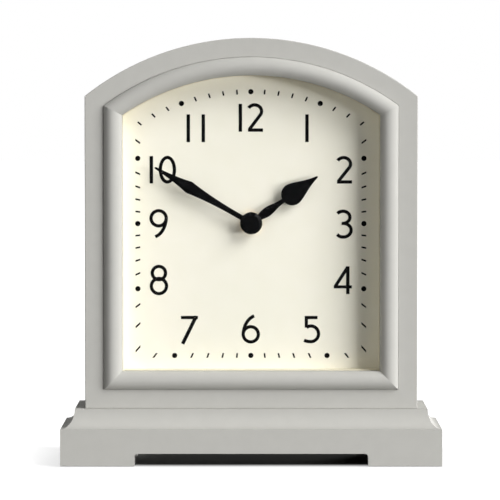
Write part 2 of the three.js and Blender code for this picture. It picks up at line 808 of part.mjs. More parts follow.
function settingKnob() {
  const front = movementDepth + knobGap;
  const flutes = toothedOutline(knobFlutes, 2 * knobRadius / knobFlutes, 0,
    { drop: knobFluteDepth * knobFlutes / (2 * knobRadius), root: 0.7, reach: 0, tip: 0.4 });
  return join(
    plate(flutes, front, front + knobThickness),
    rod(knobShaftRadius, motionFront, front + knobThickness / 2),
    rod(arborRadius, pivotFront, motionBack),
    cannon(knobPhase),
  );
}

add('minute_arbor', minuteArbor(), brass, place(shaft));
add('motion_wheel', motionWheel(), whitePlastic, place(motion));
add('hour_wheel', hourWheel(), whitePlastic, place(shaft));
add('setting_knob', settingKnob(), blackPlastic, place(knob));

// Bush, washers and nut hold the movement to the dial
function bush() {
  return join(
    ring(bushRadius, bushBore, fromFront(bushTip), movementFaceWall + bushFlangeThickness / 2),
    ring(bushRadius + bushFlange, bushBore, movementFaceWall, movementFaceWall + bushFlangeThickness),
  );
}
add('threaded_bush', bush(), brass, place(shaft));
add('rubber_washer', ring(washerRadius, bushRadius + edgeGap, -washerThickness, 0), rubber, place(shaft));
add('brass_washer', ring(nutCorner - edgeGap, bushRadius + edgeGap, fromFront(nutBack), fromFront(frameBack)),
  brass, place(shaft));
add('hex_nut', plate(circle(nutCorner, hexSides), fromFront(nutFront), fromFront(nutBack),
  [circle(bushRadius + edgeGap, roundSteps)]), brass, place(shaft));

// Hands point up and are then turned to the time. Stations run along the hand as shares of its length
const minuteShape = {
  stemHalf: 1.25, stemEnd: 0.216,
  bendHalf: 1.55, bend: 0.464,
  wideHalf: 3.25, wide: 0.645,
  hollowHalf: 1.35, hollow: 0.763,
};
const hourShape = {
  rootHalf: 1.5, root: 0.125,
  bellyHalf: 2.45, belly: 0.245,
  neckHalf: 1.22, neck: 0.475,
  lobeHalf: 5.95, lobe: 0.614, lobeEnd: 20,
  crestHalf: 4.5, crest: 0.727,
  hollowHalf: 1.6, hollow: 0.83,
};

function handOutline(half, length) {
  const right = half.getPoints(curveSteps);
  const left = right.map(({ x, y }) => new THREE.Vector2(-x, y)).reverse();
  return [...right, new THREE.Vector2(0, length), ...left];
}

function minuteOutline() {
  const s = minuteShape;
  const at = minuteHandLength;
  const half = new THREE.Path();
  half.moveTo(s.stemHalf, 0);
  half.lineTo(s.stemHalf, s.stemEnd * at);
  half.quadraticCurveTo(s.bendHalf, s.bend * at, s.wideHalf, s.wide * at);
  half.quadraticCurveTo(s.hollowHalf, s.hollow * at, handTipHalf, at - handTipHalf);
  return handOutline(half, at);
}

function hourOutline() {
  const s = hourShape;
  const at = hourHandLength;
  const lobeEnd = THREE.MathUtils.degToRad(s.lobeEnd);
  const half = new THREE.Path();
  half.moveTo(s.rootHalf, 0);
  half.lineTo(s.rootHalf, s.root * at);
  half.quadraticCurveTo(s.bellyHalf, (s.root + s.belly) / 2 * at, s.bellyHalf, s.belly * at);
  half.bezierCurveTo(s.bellyHalf, (s.belly * 2 + s.neck) / 3 * at, s.neckHalf, (s.belly + s.neck) / 2 * at,
    s.neckHalf, s.lobe * at - Math.sqrt(s.lobeHalf ** 2 - s.neckHalf ** 2));
  half.absarc(0, s.lobe * at, s.lobeHalf, Math.asin(s.neckHalf / s.lobeHalf) - Math.PI / 2, lobeEnd);
  half.bezierCurveTo(s.crestHalf, s.crest * at, s.hollowHalf, s.hollow * at, handTipHalf, at - handTipHalf);
  return handOutline(half, at);
}

function hand(outline, bore, front, back) {
  return cut(
    join(plate(outline, front, back), rod(handHubRadius, front, back, 0, 0, roundSteps)),
    rod(bore, front - cutterSpare, back + cutterSpare, 0, 0, roundSteps),
  );
}

function handCap() {
  const front = fromFront(capFront);
  const back = fromFront(capBack);
  const bore = minuteArborRadius + runningGap;
  const socketEnd = back - capSocket - runningGap;
  return turned([[0, front], [capRadius - capChamfer, front], [capRadius, front + capChamfer],
    [capRadius, back], [bore, back], [bore, socketEnd], [0, socketEnd]], roundSteps);
}

const minuteTurn = 2 * Math.PI * timeMinutes / 60;
const hourTurn = 2 * Math.PI * (timeHours + timeMinutes / 60) / 12;
const hourBlade = hand(hourOutline(), pipeRadius + runningGap, fromFront(hourHandFront),
  fromFront(hourHandBack));
const minuteBlade = hand(minuteOutline(), minuteArborRadius + runningGap, fromFront(minuteHandFront),
  fromFront(minuteHandBack));
add('hour_hand', hourBlade, blackPaint, place(shaft, { turnY: hourTurn }));
add('minute_hand', minuteBlade, blackPaint, place(shaft, { turnY: minuteTurn }));
add('hand_cap', handCap(), blackPaint, place(shaft));

// Movement body: front shell with the cell's bay, and the cover over the wheels
const coreFront = coilLayer - coreFrontHalf;
const postCentres = [-1, 1].map((side) => ({ x: coil.x, z: coil.z + side * (coreHalf - postHalf) }));
const boardPosts = [circuitBottom + postHalf, circuitBottom + boardHeight - postHalf].map((z) => (
  { x: (circuitLeft + circuitRight) / 2, z }));
const stripLeft = circuitLeft + boardGap;
const risers = {
  positive: [cellLength / 2 + cellGap, cellLength / 2 + cellGap + contactThickness],
  negative: [stripLeft, stripLeft + stripWidth],
};
const stripFront = movementFaceWall + cellGap;
const stripBack = stripFront + contactThickness;

function post({ x, z }, height) {
  return box(x - postHalf, x + postHalf, movementFaceWall / 2, height, z - postHalf, z + postHalf);
}

function riserNotch([left, right]) {
  const room = cellGap;
  return box(left - room, right + room, movementFaceWall, stripFront + stripWidth + room,
    bayCeiling - movementWall, bayTopFace + movementWall);
}

function bearing({ x, z }, radius) {
  return rod(radius + runningGap, pivotFront - runningGap, movementFaceWall + runningGap, x, z);
}

function frontShell() {
  const shell = join(
    cut(
      box(-bodyHalfX, bodyHalfX, 0, rearFace, bodyBottom, bodyTop),
      box(-innerHalfX, innerHalfX, movementFaceWall, rearFace + cutterSpare, bayTopFace, innerTop),
      box(-innerHalfX, innerHalfX, movementFaceWall, rearFace + cutterSpare, bayFloor, bayCeiling),
    ),
    ...postCentres.map((spot) => post(spot, coreFront)),
    ...boardPosts.map((spot) => post(spot, circuitFront)),
  );
  return cut(
    shell,
    rod(bushRadius + runningGap, -cutterSpare, movementFaceWall + runningGap, 0, 0, roundSteps),
    ...[third, fourth, fifth, rotor, motion, knob].map((spot) => bearing(spot, arborRadius)),
    ...Object.values(risers).map(riserNotch),
  );
}

function rearCover() {
  const lipEdge = (inset) => (
    rectangle(inset - innerHalfX, innerHalfX - inset, bayTopFace + inset, innerTop - inset));
  const lid = join(
    box(-bodyHalfX, bodyHalfX, rearFace, movementDepth, bayCeiling, bodyTop),
    plate(lipEdge(edgeGap), rearFace - lidLip, rearFace + movementFaceWall / 2, [lipEdge(edgeGap + lidLip)]),
  );
  const pivots = [third, fourth, fifth, rotor, motion].map(({ x, z }) => (
    rod(arborRadius + runningGap, rearFace - cutterSpare, pivotBack + runningGap, x, z)));
  return cut(
    lid,
    ...pivots,
    rod(centreRearRadius + runningGap, rearFace - cutterSpare, pivotBack + runningGap),
    rod(knobShaftRadius + runningGap, rearFace - cutterSpare, movementDepth + cutterSpare, knob.x, knob.z),
  );
}

add('movement_front_shell', frontShell(), blackPlastic, place(shaft));
add('movement_rear_cover', rearCover(), blackPlastic, place(shaft));

// Motor: a plate round the rotor, whose arms lie on the ends of the coil's core
function stator() {
  const bodyHalf = magnetRadius + magnetGap + statorWeb;
  const armEnd = coil.x - rotor.x - coreWidth / 2;
  const armInner = coilLength / 2 + armClearance;
  const corners = [[bodyHalf, -coreHalf], [bodyHalf, coreHalf], [armEnd, coreHalf], [armEnd, armInner],
    [-bodyHalf, armInner], [-bodyHalf, -armInner], [armEnd, -armInner], [armEnd, -coreHalf]];
  return plate(corners.map(([x, z]) => new THREE.Vector2(x, z)), statorFront, statorFront + statorThickness,
    [circle(magnetRadius + magnetGap, roundSteps)]);
}

const coilBore = Math.hypot(coreWidth / 2, Math.max(statorFront - coilLayer, coreFrontHalf)) + edgeGap;

add('stator', stator(), iron, place(rotor));
add('coil', ring(coilRadius, coilBore, -coilLength / 2, coilLength / 2).rotateX(Math.PI / 2), copper,
  place(coil, { y: coilLayer }));
add('coil_core', box(-coreWidth / 2, coreWidth / 2, coreFront, statorFront, -coreHalf, coreHalf), iron,
  place(coil));

function circuitBoard() {
  const chipX = (circuitLeft + circuitRight) / 2;
  const chipZ = circuitBottom + boardHeight / 2;
  const back = circuitFront + boardThickness;
  return join(
    box(circuitLeft, circuitRight, circuitFront, back, circuitBottom, circuitBottom + boardHeight),
    box(chipX - chipSize / 2, chipX + chipSize / 2, circuitFront + boardThickness / 2, back + chipThickness,
      chipZ - chipSize / 2, chipZ + chipSize / 2),
  );
}
add('circuit_board', circuitBoard(), circuitGreen, place(shaft));

// Cell, nub to the right, and the strips that carry its current up to the board
function cell() {
  const left = -cellLength / 2;
  const right = cellLength / 2;
  const body = turned([[0, left], [cellRadius, left], [cellRadius, right - nubLength],
    [nubRadius, right - nubLength], [nubRadius, right], [0, right]], roundSteps);
  return body.rotateZ(-Math.PI / 2);
}

const contactRight = cellLength / 2 + cellGap;
const riserTop = circuitBottom + postHalf;

function contactPlate(side) {
  const [near, far] = [contactRight, contactRight + contactThickness];
  return box(Math.min(side * near, side * far), Math.max(side * near, side * far), stripFront,
    cellCentre.v + contactHalf, cellCentre.z - contactHalf, bayCeiling - cellGap);
}

function positiveContact() {
  const [left, right] = risers.positive;
  const riser = box(left, right, stripFront, stripFront + stripWidth, cellCentre.z, riserTop);
  return join(contactPlate(1), riser);
}

function negativeContact() {
  const [left, right] = risers.negative;
  const stripTop = bayCeiling - cellGap;
  return join(
    contactPlate(-1),
    box(-contactRight - contactThickness, right, stripFront, stripBack, stripTop - stripWidth, stripTop),
    box(left, right, stripFront, stripBack, stripTop - stripWidth, riserTop),
  );
}

add('battery', cell(), cellLabel, place(shaft, { y: cellCentre.v, z: cellCentre.z }));
add('battery_contact_positive', positiveContact(), brass, place(shaft));
add('battery_contact_negative', negativeContact(), brass, place(shaft));

export default clock;
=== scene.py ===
from math import asin, atan, atan2, copysign, cos, pi, radians, sin, sqrt, tan

import bmesh
import bpy
from mathutils import Matrix, Vector
from mathutils.geometry import delaunay_2d_cdt


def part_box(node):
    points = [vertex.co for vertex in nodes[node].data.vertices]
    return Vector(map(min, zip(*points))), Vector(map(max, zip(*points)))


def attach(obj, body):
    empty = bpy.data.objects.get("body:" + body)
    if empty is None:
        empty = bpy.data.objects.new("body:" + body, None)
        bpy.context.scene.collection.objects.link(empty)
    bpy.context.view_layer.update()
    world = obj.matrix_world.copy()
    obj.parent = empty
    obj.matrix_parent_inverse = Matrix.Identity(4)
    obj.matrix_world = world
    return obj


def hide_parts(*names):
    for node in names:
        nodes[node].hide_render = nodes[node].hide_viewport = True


# Arch-topped desk clock in painted wood. Lengths are millimetres, angles are degrees.
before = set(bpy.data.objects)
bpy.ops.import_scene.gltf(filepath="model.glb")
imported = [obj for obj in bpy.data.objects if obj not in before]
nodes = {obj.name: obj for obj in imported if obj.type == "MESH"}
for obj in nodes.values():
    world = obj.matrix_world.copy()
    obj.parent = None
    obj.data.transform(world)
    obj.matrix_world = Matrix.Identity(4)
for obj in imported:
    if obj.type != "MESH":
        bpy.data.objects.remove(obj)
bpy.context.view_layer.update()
scene = bpy.context.scene
scene.view_settings.view_transform = "Standard"
mm = 0.001


def nodeBox(node):
    low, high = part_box(node)
    return low / mm, high / mm


def middleOf(node):
    low, high = nodeBox(node)
    return (low + high) / 2


# Camera straight ahead and a little above, as a long lens sees the clock
cameraLook = {"place": (0, -1906, 202), "aim": (-0.63, -34.9, 116.53), "lens": 252.15, "sensor": 36}


def addCamera(look):
    camera = bpy.data.objects.new("camera", bpy.data.cameras.new("camera"))
    scene.collection.objects.link(camera)
    camera.data.lens = look["lens"]
    camera.data.sensor_width = look["sensor"]
    camera.location = Vector(look["place"]) * mm
    sight = Vector(look["aim"]) - Vector(look["place"])
    camera.rotation_euler = sight.to_track_quat("-Z", "Y").to_euler()
    scene.camera = camera


addCamera(cameraLook)
print("camera set")


# Finishes
def colour(red, green, blue):
    def linear(value):
        share = value / 255
        return share / 12.92 if share <= 0.04045 else ((share + 0.055) / 1.055) ** 2.4
    return (linear(red), linear(green), linear(blue), 1)


def startFinish(name):
    material = bpy.data.materials.new(name)
    material.use_nodes = True
    tree = material.node_tree
    return material, tree, tree.nodes["Principled BSDF"]


def plug(tree, node, inputs):
    # inputs are linked to other nodes or set to plain values
    for socket, value in inputs.items():
        if isinstance(value, bpy.types.NodeSocket):
            tree.links.new(value, node.inputs[socket])
        else:
            node.inputs[socket].default_value = value
    return node


def shaderNode(tree, kind, inputs, **settings):
    made = tree.nodes.new("ShaderNode" + kind)
    for name, value in settings.items():
        setattr(made, name, value)
    return plug(tree, made, inputs)


def mathNode(tree, operation, *values):
    return shaderNode(tree, "Math", dict(enumerate(values)), operation=operation).outputs[0]


def anyRay(tree, *kinds):
    # 1 for rays of any of these kinds
    rays = shaderNode(tree, "LightPath", {})
    found = [rays.outputs[f"Is {kind} Ray"] for kind in kinds]
    last = found[0]
    for other in found[1:]:
        last = mathNode(tree, "MAXIMUM", last, other)
    return last


def placeIn(tree, size, stretch=(1, 1, 1)):
    # texture space in which one unit is size millimetres, drawn out by stretch
    coords = shaderNode(tree, "TexCoord", {}).outputs["Object"]
    scale = [1 / (size * mm * part) for part in stretch]
    return shaderNode(tree, "Mapping", {"Vector": coords, "Scale": scale}).outputs["Vector"]


def grain(tree, size, stretch=(1, 1, 1)):
    inputs = {"Vector": placeIn(tree, size, stretch), "Scale": 1, "Detail": 3}
    return shaderNode(tree, "TexNoise", inputs).outputs["Fac"]


def turns(tree, pitch, direction):
    # even ridges, one for each pitch along an axis
    inputs = {"Vector": placeIn(tree, pitch), "Scale": pi / 10, "Distortion": 0.15}
    return shaderNode(tree, "TexWave", inputs, bands_direction=direction).outputs["Fac"]


def tinted(tree, value, dark, light):
    ramp = shaderNode(tree, "ValToRGB", {"Fac": value})
    for element, place, tint in zip(ramp.color_ramp.elements, (0.35, 0.65), (dark, light)):
        element.position = place
        element.color = tint
    return ramp.outputs["Color"]


def spread(tree, value, low, high):
    # noise lies mostly between 0.3 and 0.7
    inputs = {"Value": value, "From Min": 0.3, "From Max": 0.7, "To Min": low, "To Max": high}
    return shaderNode(tree, "MapRange", inputs).outputs["Result"]


def finish(name, look):
    # a broad tint and a fine grain, or the even turns of a winding, which then carry the tint;
    # keys named like the shader's own sockets go straight to it
    material, tree, shader = startFinish(name)
    stretch = look.get("stretch", (1, 1, 1))
    fine = turns(tree, *look["turns"]) if "turns" in look else grain(tree, look["grain"], stretch)
    broad = grain(tree, look["blotch"], stretch) if "blotch" in look else fine
    bump = {"Height": fine, "Strength": look["bump"], "Distance": look["depth"] * mm}
    plug(tree, shader, {
        "Base Color": tinted(tree, broad, colour(*look["dark"]), colour(*look["light"])),
        "Roughness": spread(tree, fine, *look["roughness"]),
        "Normal": shaderNode(tree, "Bump", bump).outputs["Normal"],
        **{key: value for key, value in look.items() if key in shader.inputs},
    })
    return material


paintedWood = finish("paintedWood", {
    "dark": (186, 185, 180), "light": (188, 187, 182), "blotch": 7, "grain": 0.7,
    "roughness": (0.58, 0.68), "bump": 0.06, "depth": 0.05, "Specular IOR Level": 0.05,
})
bareBoard = finish("bareBoard", {
    "dark": (150, 121, 86), "light": (178, 148, 110), "blotch": 5, "grain": 0.5,
    "stretch": (4, 1, 1), "roughness": (0.75, 0.9), "bump": 0.3, "depth": 0.12,
})
bareBatten = finish("bareBatten", {
    "dark": (173, 134, 88), "light": (206, 170, 122), "blotch": 2.2, "grain": 0.5,
    "stretch": (1, 1, 14), "roughness": (0.6, 0.78), "bump": 0.25, "depth": 0.1,
})
feltPile = finish("feltPile", {
    "dark": (38, 38, 37), "light": (66, 65, 62), "blotch": 0.8, "grain": 0.22,
    "roughness": (0.9, 1), "bump": 0.8, "depth": 0.25,
    "Sheen Weight": 0.35, "Sheen Roughness": 0.5,
})
zincSteel = finish("zincSteel", {
    "dark": (176, 179, 184), "light": (206, 208, 211), "blotch": 1.2, "grain": 0.15,
    "stretch": (1, 4, 1), "roughness": (0.26, 0.4), "bump": 0.1, "depth": 0.02, "Metallic": 1,
})
dialEnamel = finish("dialEnamel", {
    "dark": (246, 242, 227), "light": (248, 244, 230), "blotch": 9, "grain": 0.35,
    "roughness": (0.6, 0.7), "bump": 0.05, "depth": 0.03, "Specular IOR Level": 0.2,
})
spacerCard = finish("spacerCard", {
    "dark": (235, 228, 206), "light": (240, 233, 212), "blotch": 3, "grain": 0.3,
    "stretch": (1, 3, 1), "roughness": (0.75, 0.88), "bump": 0.15, "depth": 0.05,
    "Specular IOR Level": 0.15,
})
blackHands = finish("blackHands", {
    "dark": (4, 4, 5), "light": (7, 7, 8), "blotch": 4, "grain": 0.25,
    "roughness": (0.2, 0.26), "bump": 0.04, "depth": 0.02, "Specular IOR Level": 0.04,
})
dialInk = finish("dialInk", {
    "dark": (9, 9, 9), "light": (14, 13, 13), "blotch": 2, "grain": 0.2,
    "roughness": (0.6, 0.75), "bump": 0.1, "depth": 0.02, "Specular IOR Level": 0.03,
})
blackPlastic = finish("blackPlastic", {
    "dark": (25, 26, 28), "light": (34, 35, 37), "blotch": 7, "grain": 0.28,
    "roughness": (0.42, 0.56), "bump": 0.22, "depth": 0.05, "Specular IOR Level": 0.4,
})
whitePlastic = finish("whitePlastic", {
    "dark": (222, 220, 210), "light": (234, 232, 224), "blotch": 3, "grain": 0.3,
    "roughness": (0.4, 0.5), "bump": 0.05, "depth": 0.02,
    "Subsurface Weight": 0.08, "Subsurface Scale": 0.001,
})
turnedBrass = finish("turnedBrass", {
    "dark": (176, 138, 66), "light": (205, 168, 92), "blotch": 2, "grain": 0.12,
    "stretch": (1, 6, 1), "roughness": (0.22, 0.36), "bump": 0.08, "depth": 0.02, "Metallic": 1,
})
blackRubber = finish("blackRubber", {
    "dark": (20, 20, 20), "light": (31, 31, 30), "blotch": 2, "grain": 0.3,
    "roughness": (0.75, 0.9), "bump": 0.2, "depth": 0.04,
})
bondedMagnet = finish("bondedMagnet", {
    "dark": (48, 46, 46), "light": (72, 70, 69), "blotch": 0.5, "grain": 0.15,
    "roughness": (0.5, 0.65), "bump": 0.15, "depth": 0.02, "Metallic": 0.4,
})
softIron = finish("softIron", {
    "dark": (128, 130, 133), "light": (158, 160, 163), "blotch": 3, "grain": 0.2,
    "stretch": (1, 1, 5), "roughness": (0.35, 0.5), "bump": 0.1, "depth": 0.02, "Metallic": 1,
})
copperWire = finish("copperWire", {
    "dark": (112, 52, 24), "light": (196, 110, 62), "turns": (0.3, "Z"),
    "roughness": (0.28, 0.4), "bump": 0.8, "depth": 0.06, "Metallic": 0.8,
})
circuitLaminate = finish("circuitLaminate", {
    "dark": (30, 74, 42), "light": (52, 104, 60), "blotch": 1.3, "grain": 0.4,
    "roughness": (0.4, 0.55), "bump": 0.2, "depth": 0.03, "Coat Weight": 0.3,
})
cellJacket = finish("cellJacket", {
    "dark": (38, 62, 92), "light": (46, 72, 104), "blotch": 6, "grain": 0.1,
    "roughness": (0.26, 0.36), "bump": 0.04, "depth": 0.01, "Metallic": 0.35,
})
cellBand = finish("cellBand", {
    "dark": (198, 200, 201), "light": (212, 214, 215), "blotch": 4, "grain": 0.1,
    "roughness": (0.24, 0.34), "bump": 0.04, "depth": 0.01, "Metallic": 0.5,
})
glassLook = {"ior": 1.05, "blotch": 60, "ripple": 25, "roughness": (0, 0.004),
             "dark": (0.985, 0.992, 0.985, 1), "light": (0.995, 0.998, 0.995, 1)}


def glassFinish(look):
    # lamps and soft light pass straight through, so the dial behind is lit as if the pane were air
    material, tree, shader = startFinish("clearGlass")
    tree.nodes.remove(shader)
    tint = tinted(tree, grain(tree, look["blotch"]), look["dark"], look["light"])
    rough = spread(tree, grain(tree, look["ripple"]), *look["roughness"])
    glass = shaderNode(tree, "BsdfGlass", {"Color": tint, "Roughness": rough, "IOR": look["ior"]})
    air = shaderNode(tree, "BsdfTransparent", {})
    through = anyRay(tree, "Shadow", "Diffuse")
    mix = shaderNode(tree, "MixShader", {"Fac": through, 1: glass.outputs[0], 2: air.outputs[0]})
    tree.links.new(mix.outputs[0], tree.nodes["Material Output"].inputs["Surface"])
    return material


clearGlass = glassFinish(glassLook)
print("finishes mixed")


# Mesh helpers: every point is in millimetres, in the clock's own frame
weldGap = 0.0005  # points closer than this become one
fineSteps = 64  # for rounds that show
cutPast = 1  # how far a cutter runs on past the face that it opens
lookPieces = []


def spaced(start, end, steps):
    return [start + (end - start) * i / steps for i in range(steps + 1)]


def meshFrom(name, verts, faces, sharp=32):
    mesh = bpy.data.meshes.new(name)
    mesh.from_pydata([Vector(vert) * mm for vert in verts], [], faces)
    work = bmesh.new()
    work.from_mesh(mesh)
    bmesh.ops.remove_doubles(work, verts=work.verts, dist=weldGap * mm)
    bmesh.ops.dissolve_degenerate(work, edges=work.edges, dist=weldGap * mm)
    bmesh.ops.recalc_face_normals(work, faces=work.faces)
    work.to_mesh(mesh)
    work.free()
    mesh.shade_smooth()
    mesh.set_sharp_from_angle(angle=radians(sharp))
    return mesh


def addPiece(name, form, material, body="case", stands=(), sharp=32):
    piece = bpy.data.objects.new(name, meshFrom(name, *form, sharp))
    scene.collection.objects.link(piece)
    piece.data.materials.append(material)
    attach(piece, body)
    if stands:
        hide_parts(*stands)
    lookPieces.append(piece)
    return piece


def carve(piece, forms, mode="DIFFERENCE", sharp=32):
    for form in forms:
        tool = bpy.data.objects.new("cutter", meshFrom("cutter", *form))
        scene.collection.objects.link(tool)
        step = piece.modifiers.new("carve", "BOOLEAN")
        step.operation = mode
        step.solver = "EXACT"
        step.object = tool
        shaped = piece.evaluated_get(bpy.context.evaluated_depsgraph_get())
        mesh = bpy.data.meshes.new_from_object(shaped)
        piece.modifiers.clear()
        piece.data = mesh
        bpy.data.objects.remove(tool)
    piece.data.shade_smooth()
    piece.data.set_sharp_from_angle(angle=radians(sharp))


def mergeFlats(piece, angle=0.5):
    work = bmesh.new()
    work.from_mesh(piece.data)
    bmesh.ops.dissolve_limit(work, angle_limit=radians(angle), verts=work.verts, edges=work.edges)
    work.to_mesh(piece.data)
    work.free()


def ease(piece, width, steps=3, angle=40):
    bevel = piece.modifiers.new("ease", "BEVEL")
    bevel.width = width * mm
    bevel.segments = steps
    bevel.limit_method = "ANGLE"
    bevel.angle_limit = radians(angle)


def moved(form, matrix):
    verts, faces = form
    return [matrix @ Vector(vert) for vert in verts], faces


def skin(rows, closedPath):
    # rows: for each point of a closed profile, where it runs along the path
    count, steps = len(rows), len(rows[0])
    verts = [vert for row in rows for vert in row]
    faces = []
    for r in range(count):
        n = (r + 1) % count
        for s in range(steps if closedPath else steps - 1):
            e = (s + 1) % steps
            faces.append((r * steps + s, n * steps + s, n * steps + e, r * steps + e))
    if not closedPath:
        faces.append([r * steps for r in range(count)])
        faces.append([r * steps + steps - 1 for r in reversed(range(count))])
    return verts, faces


def lathe(profile, steps=48):
    # profile: radius and height pairs from the axis out and back, turned round +Z
    angles = spaced(0, 2 * pi, steps)[:-1]
    rows = [[(radius * cos(a), radius * sin(a), height) for a in angles] for radius, height in profile]
    verts, faces = skin(rows, True)
    keep = len(faces) - steps if profile[0][0] == 0 and profile[-1][0] == 0 else len(faces)
    return verts, faces[:keep]


def turnedAlongY(profile, x, z, steps=fineSteps):
    # profile: radius and y pairs, turned round a line along Y
    verts, faces = lathe(profile, steps)
    return [(x + a, y, z + b) for a, b, y in verts], faces


def eased(corners, steps=5):
    # corners: a, b and the radius that rounds the corner there
    points = []
    for i, (a, b, radius) in enumerate(corners):
        here = Vector((a, b))
        if radius == 0:
            points.append((a, b))
            continue
        before = (Vector(corners[i - 1][:2]) - here).normalized()
        after = (Vector(corners[(i + 1) % len(corners)][:2]) - here).normalized()
        reach = radius / tan(before.angle(after) / 2)
        for t in spaced(0, 1, steps):
            point = here + before * reach * (1 - t) ** 2 + after * reach * t ** 2
            points.append((point.x, point.y))
    return points


def roundedBox(left, right, bottom, top, radius, steps=6):
    corners = [(left, bottom), (right, bottom), (right, top), (left, top)]
    return eased([(a, b, radius) for a, b in corners], steps)


def insetBox(low, high, inset, radius):
    return roundedBox(low.x + inset, high.x - inset, low.z + inset, high.z - inset, radius)


def disc(x, z, radius, steps=40):
    return [(x + radius * cos(a), z + radius * sin(a)) for a in spaced(0, 2 * pi, steps)[:-1]]


def facingUp(polygon):
    pairs = zip(polygon, polygon[1:] + polygon[:1])
    area = sum(a[0] * b[1] - b[0] * a[1] for a, b in pairs)
    return polygon if area > 0 else polygon[::-1]


def region(solid, holes=()):
    # flat area covered by any of the solid outlines and by none of the holes
    points, loops = [], []
    for outline in [*solid, *holes]:
        loops.append(list(range(len(points), len(points) + len(outline))))
        points += [Vector(point) for point in facingUp(list(outline))]
    insideOnly, nearness = 1, 1e-5
    verts, _, faces, _, _, owners = delaunay_2d_cdt(points, [], loops, insideOnly, nearness, True)
    inside = [bool(owner) and max(owner) < len(solid) for owner in owners]
    return [(v.x, v.y) for v in verts], [list(f) for f, keep in zip(faces, inside) if keep]


def slab(area, front, back):
    verts, faces = area
    count = len(verts)
    edges = {(a, b) for face in faces for a, b in zip(face, face[1:] + face[:1])}
    rim = [edge for edge in edges if edge[::-1] not in edges]
    solid = [(x, front, z) for x, z in verts] + [(x, back, z) for x, z in verts]
    walls = [(a, b, b + count, a + count) for a, b in sorted(rim)]
    return solid, faces + [[i + count for i in reversed(face)] for face in faces] + walls


def block(low, high):
    outline = [(low[0], low[2]), (high[0], low[2]), (high[0], high[2]), (low[0], high[2])]
    return slab(region([outline]), low[1], high[1])


def rod(x, z, radius, front, back, steps=32):
    return slab(region([disc(x, z, radius, steps)]), front, back)


# Case: the front frame, two sides and the bent arch, all on one arched outline
frameLow, frameHigh = nodeBox("case_front_frame")
sideHigh = nodeBox("case_left_side")[1]
# quirk: a fine groove in the face, by its distance from the moulding's outer edge and its depth
caseLook = {"edge": 0.5, "backEdge": 0.7, "innerEdge": 0.3, "archSteps": 96, "jointGap": 0.1,
            "quirk": ((-0.2, 0), (-0.1, 0.4), (0.2, 0.4), (0.4, 0))}
caseHalf = frameHigh.x
caseFoot = frameLow.z
caseCrown = frameHigh.z
archRise = caseCrown - sideHigh.z - caseLook["jointGap"]
archRadius = (caseHalf ** 2 + archRise ** 2) / (2 * archRise)
archCentre = caseCrown - archRadius
rollInset = caseHalf + nodeBox("moulding_left")[0].x
windowInset = caseHalf + nodeBox("glass_pane")[0].x


def archRun(run, inset, mitredFoot=True):
    side = caseHalf - inset
    reach = archRadius - inset
    sweep = asin(side / reach)
    top = archCentre + reach * cos(sweep)
    low = caseFoot + (inset if mitredFoot else 0)
    if run == "left":
        return [(-side, low), (-side, top)]
    if run == "right":
        return [(side, top), (side, low)]
    if run == "bottom":
        return [(side, low), (-side, low)]
    steps = caseLook["archSteps"]
    angles = [sweep * (2 * i / steps - 1) for i in range(steps + 1)]
    return [(reach * sin(a), archCentre + reach * cos(a)) for a in angles]


def archOutline(inset):
    points = []
    for run in ("left", "arch", "right", "bottom"):
        points += archRun(run, inset)[:-1]
    return points


def alongRun(profile, run, mitredFoot=True):
    rows = [[(x, y, z) for x, z in archRun(run, inset, mitredFoot)] for inset, y in profile]
    return skin(rows, False)


def addWood(node, form, sharp=32):
    return addPiece(node + "_painted", form, paintedWood, stands=[node], sharp=sharp)


def addCase(look):
    front, frameBack, back = frameLow.y, frameHigh.y, sideHigh.y
    quirk = [(rollInset + away, front + depth, 0) for away, depth in look["quirk"]]
    profile = eased([(0, front, look["edge"]), *quirk, (windowInset, front, 0),
                     (windowInset, frameBack, 0), (0, frameBack, 0)])
    rows = [[(x, y, z) for x, z in archOutline(inset)] for inset, y in profile]
    addPiece("front_frame_painted", skin(rows, True), paintedWood,
             stands=["case_front_frame"])
    wall = caseHalf + sideHigh.x
    profile = eased([(0, frameBack, 0), (wall, frameBack, 0), (wall, back, look["innerEdge"]),
                     (0, back, look["backEdge"])])
    for run, node in (("left", "case_left_side"), ("right", "case_right_side"), ("arch", "case_arch")):
        addWood(node, alongRun(profile, run, mitredFoot=False))


addCase(caseLook)
print("case built")


# Moulding round the window: a roll with its crest near the middle, mitred at the corners
mouldLow, mouldHigh = nodeBox("moulding_left")
mouldingLook = {"crest": 4.7, "step": 0.4, "drop": 3.3, "steps": 12}


def crestArc(width, drop, steps):
    radius = (width ** 2 + drop ** 2) / (2 * drop)
    sweep = 2 * atan(drop / width)
    return [(radius * sin(a), radius * (1 - cos(a))) for a in spaced(0, sweep, steps)]


def addMoulding(look):
    outer, lip = rollInset, caseHalf + mouldHigh.x
    crest, top = outer + look["crest"], mouldLow.y
    foot, back = frameLow.y, mouldHigh.y
    outside = crestArc(look["crest"], foot - look["step"] - top, look["steps"])
    inside = crestArc(lip - crest, look["drop"], look["steps"])
    profile = [(outer, foot)]
    profile += [(crest - away, top + fall) for away, fall in reversed(outside)]
    profile += [(crest + away, top + fall) for away, fall in inside[1:]]
    profile += [(lip, back), (windowInset, back), (windowInset, foot)]
    for run in ("left", "right", "bottom", "arch"):
        addWood("moulding_" + run, alongRun(profile, run), sharp=40)


addMoulding(mouldingLook)
print("moulding built")


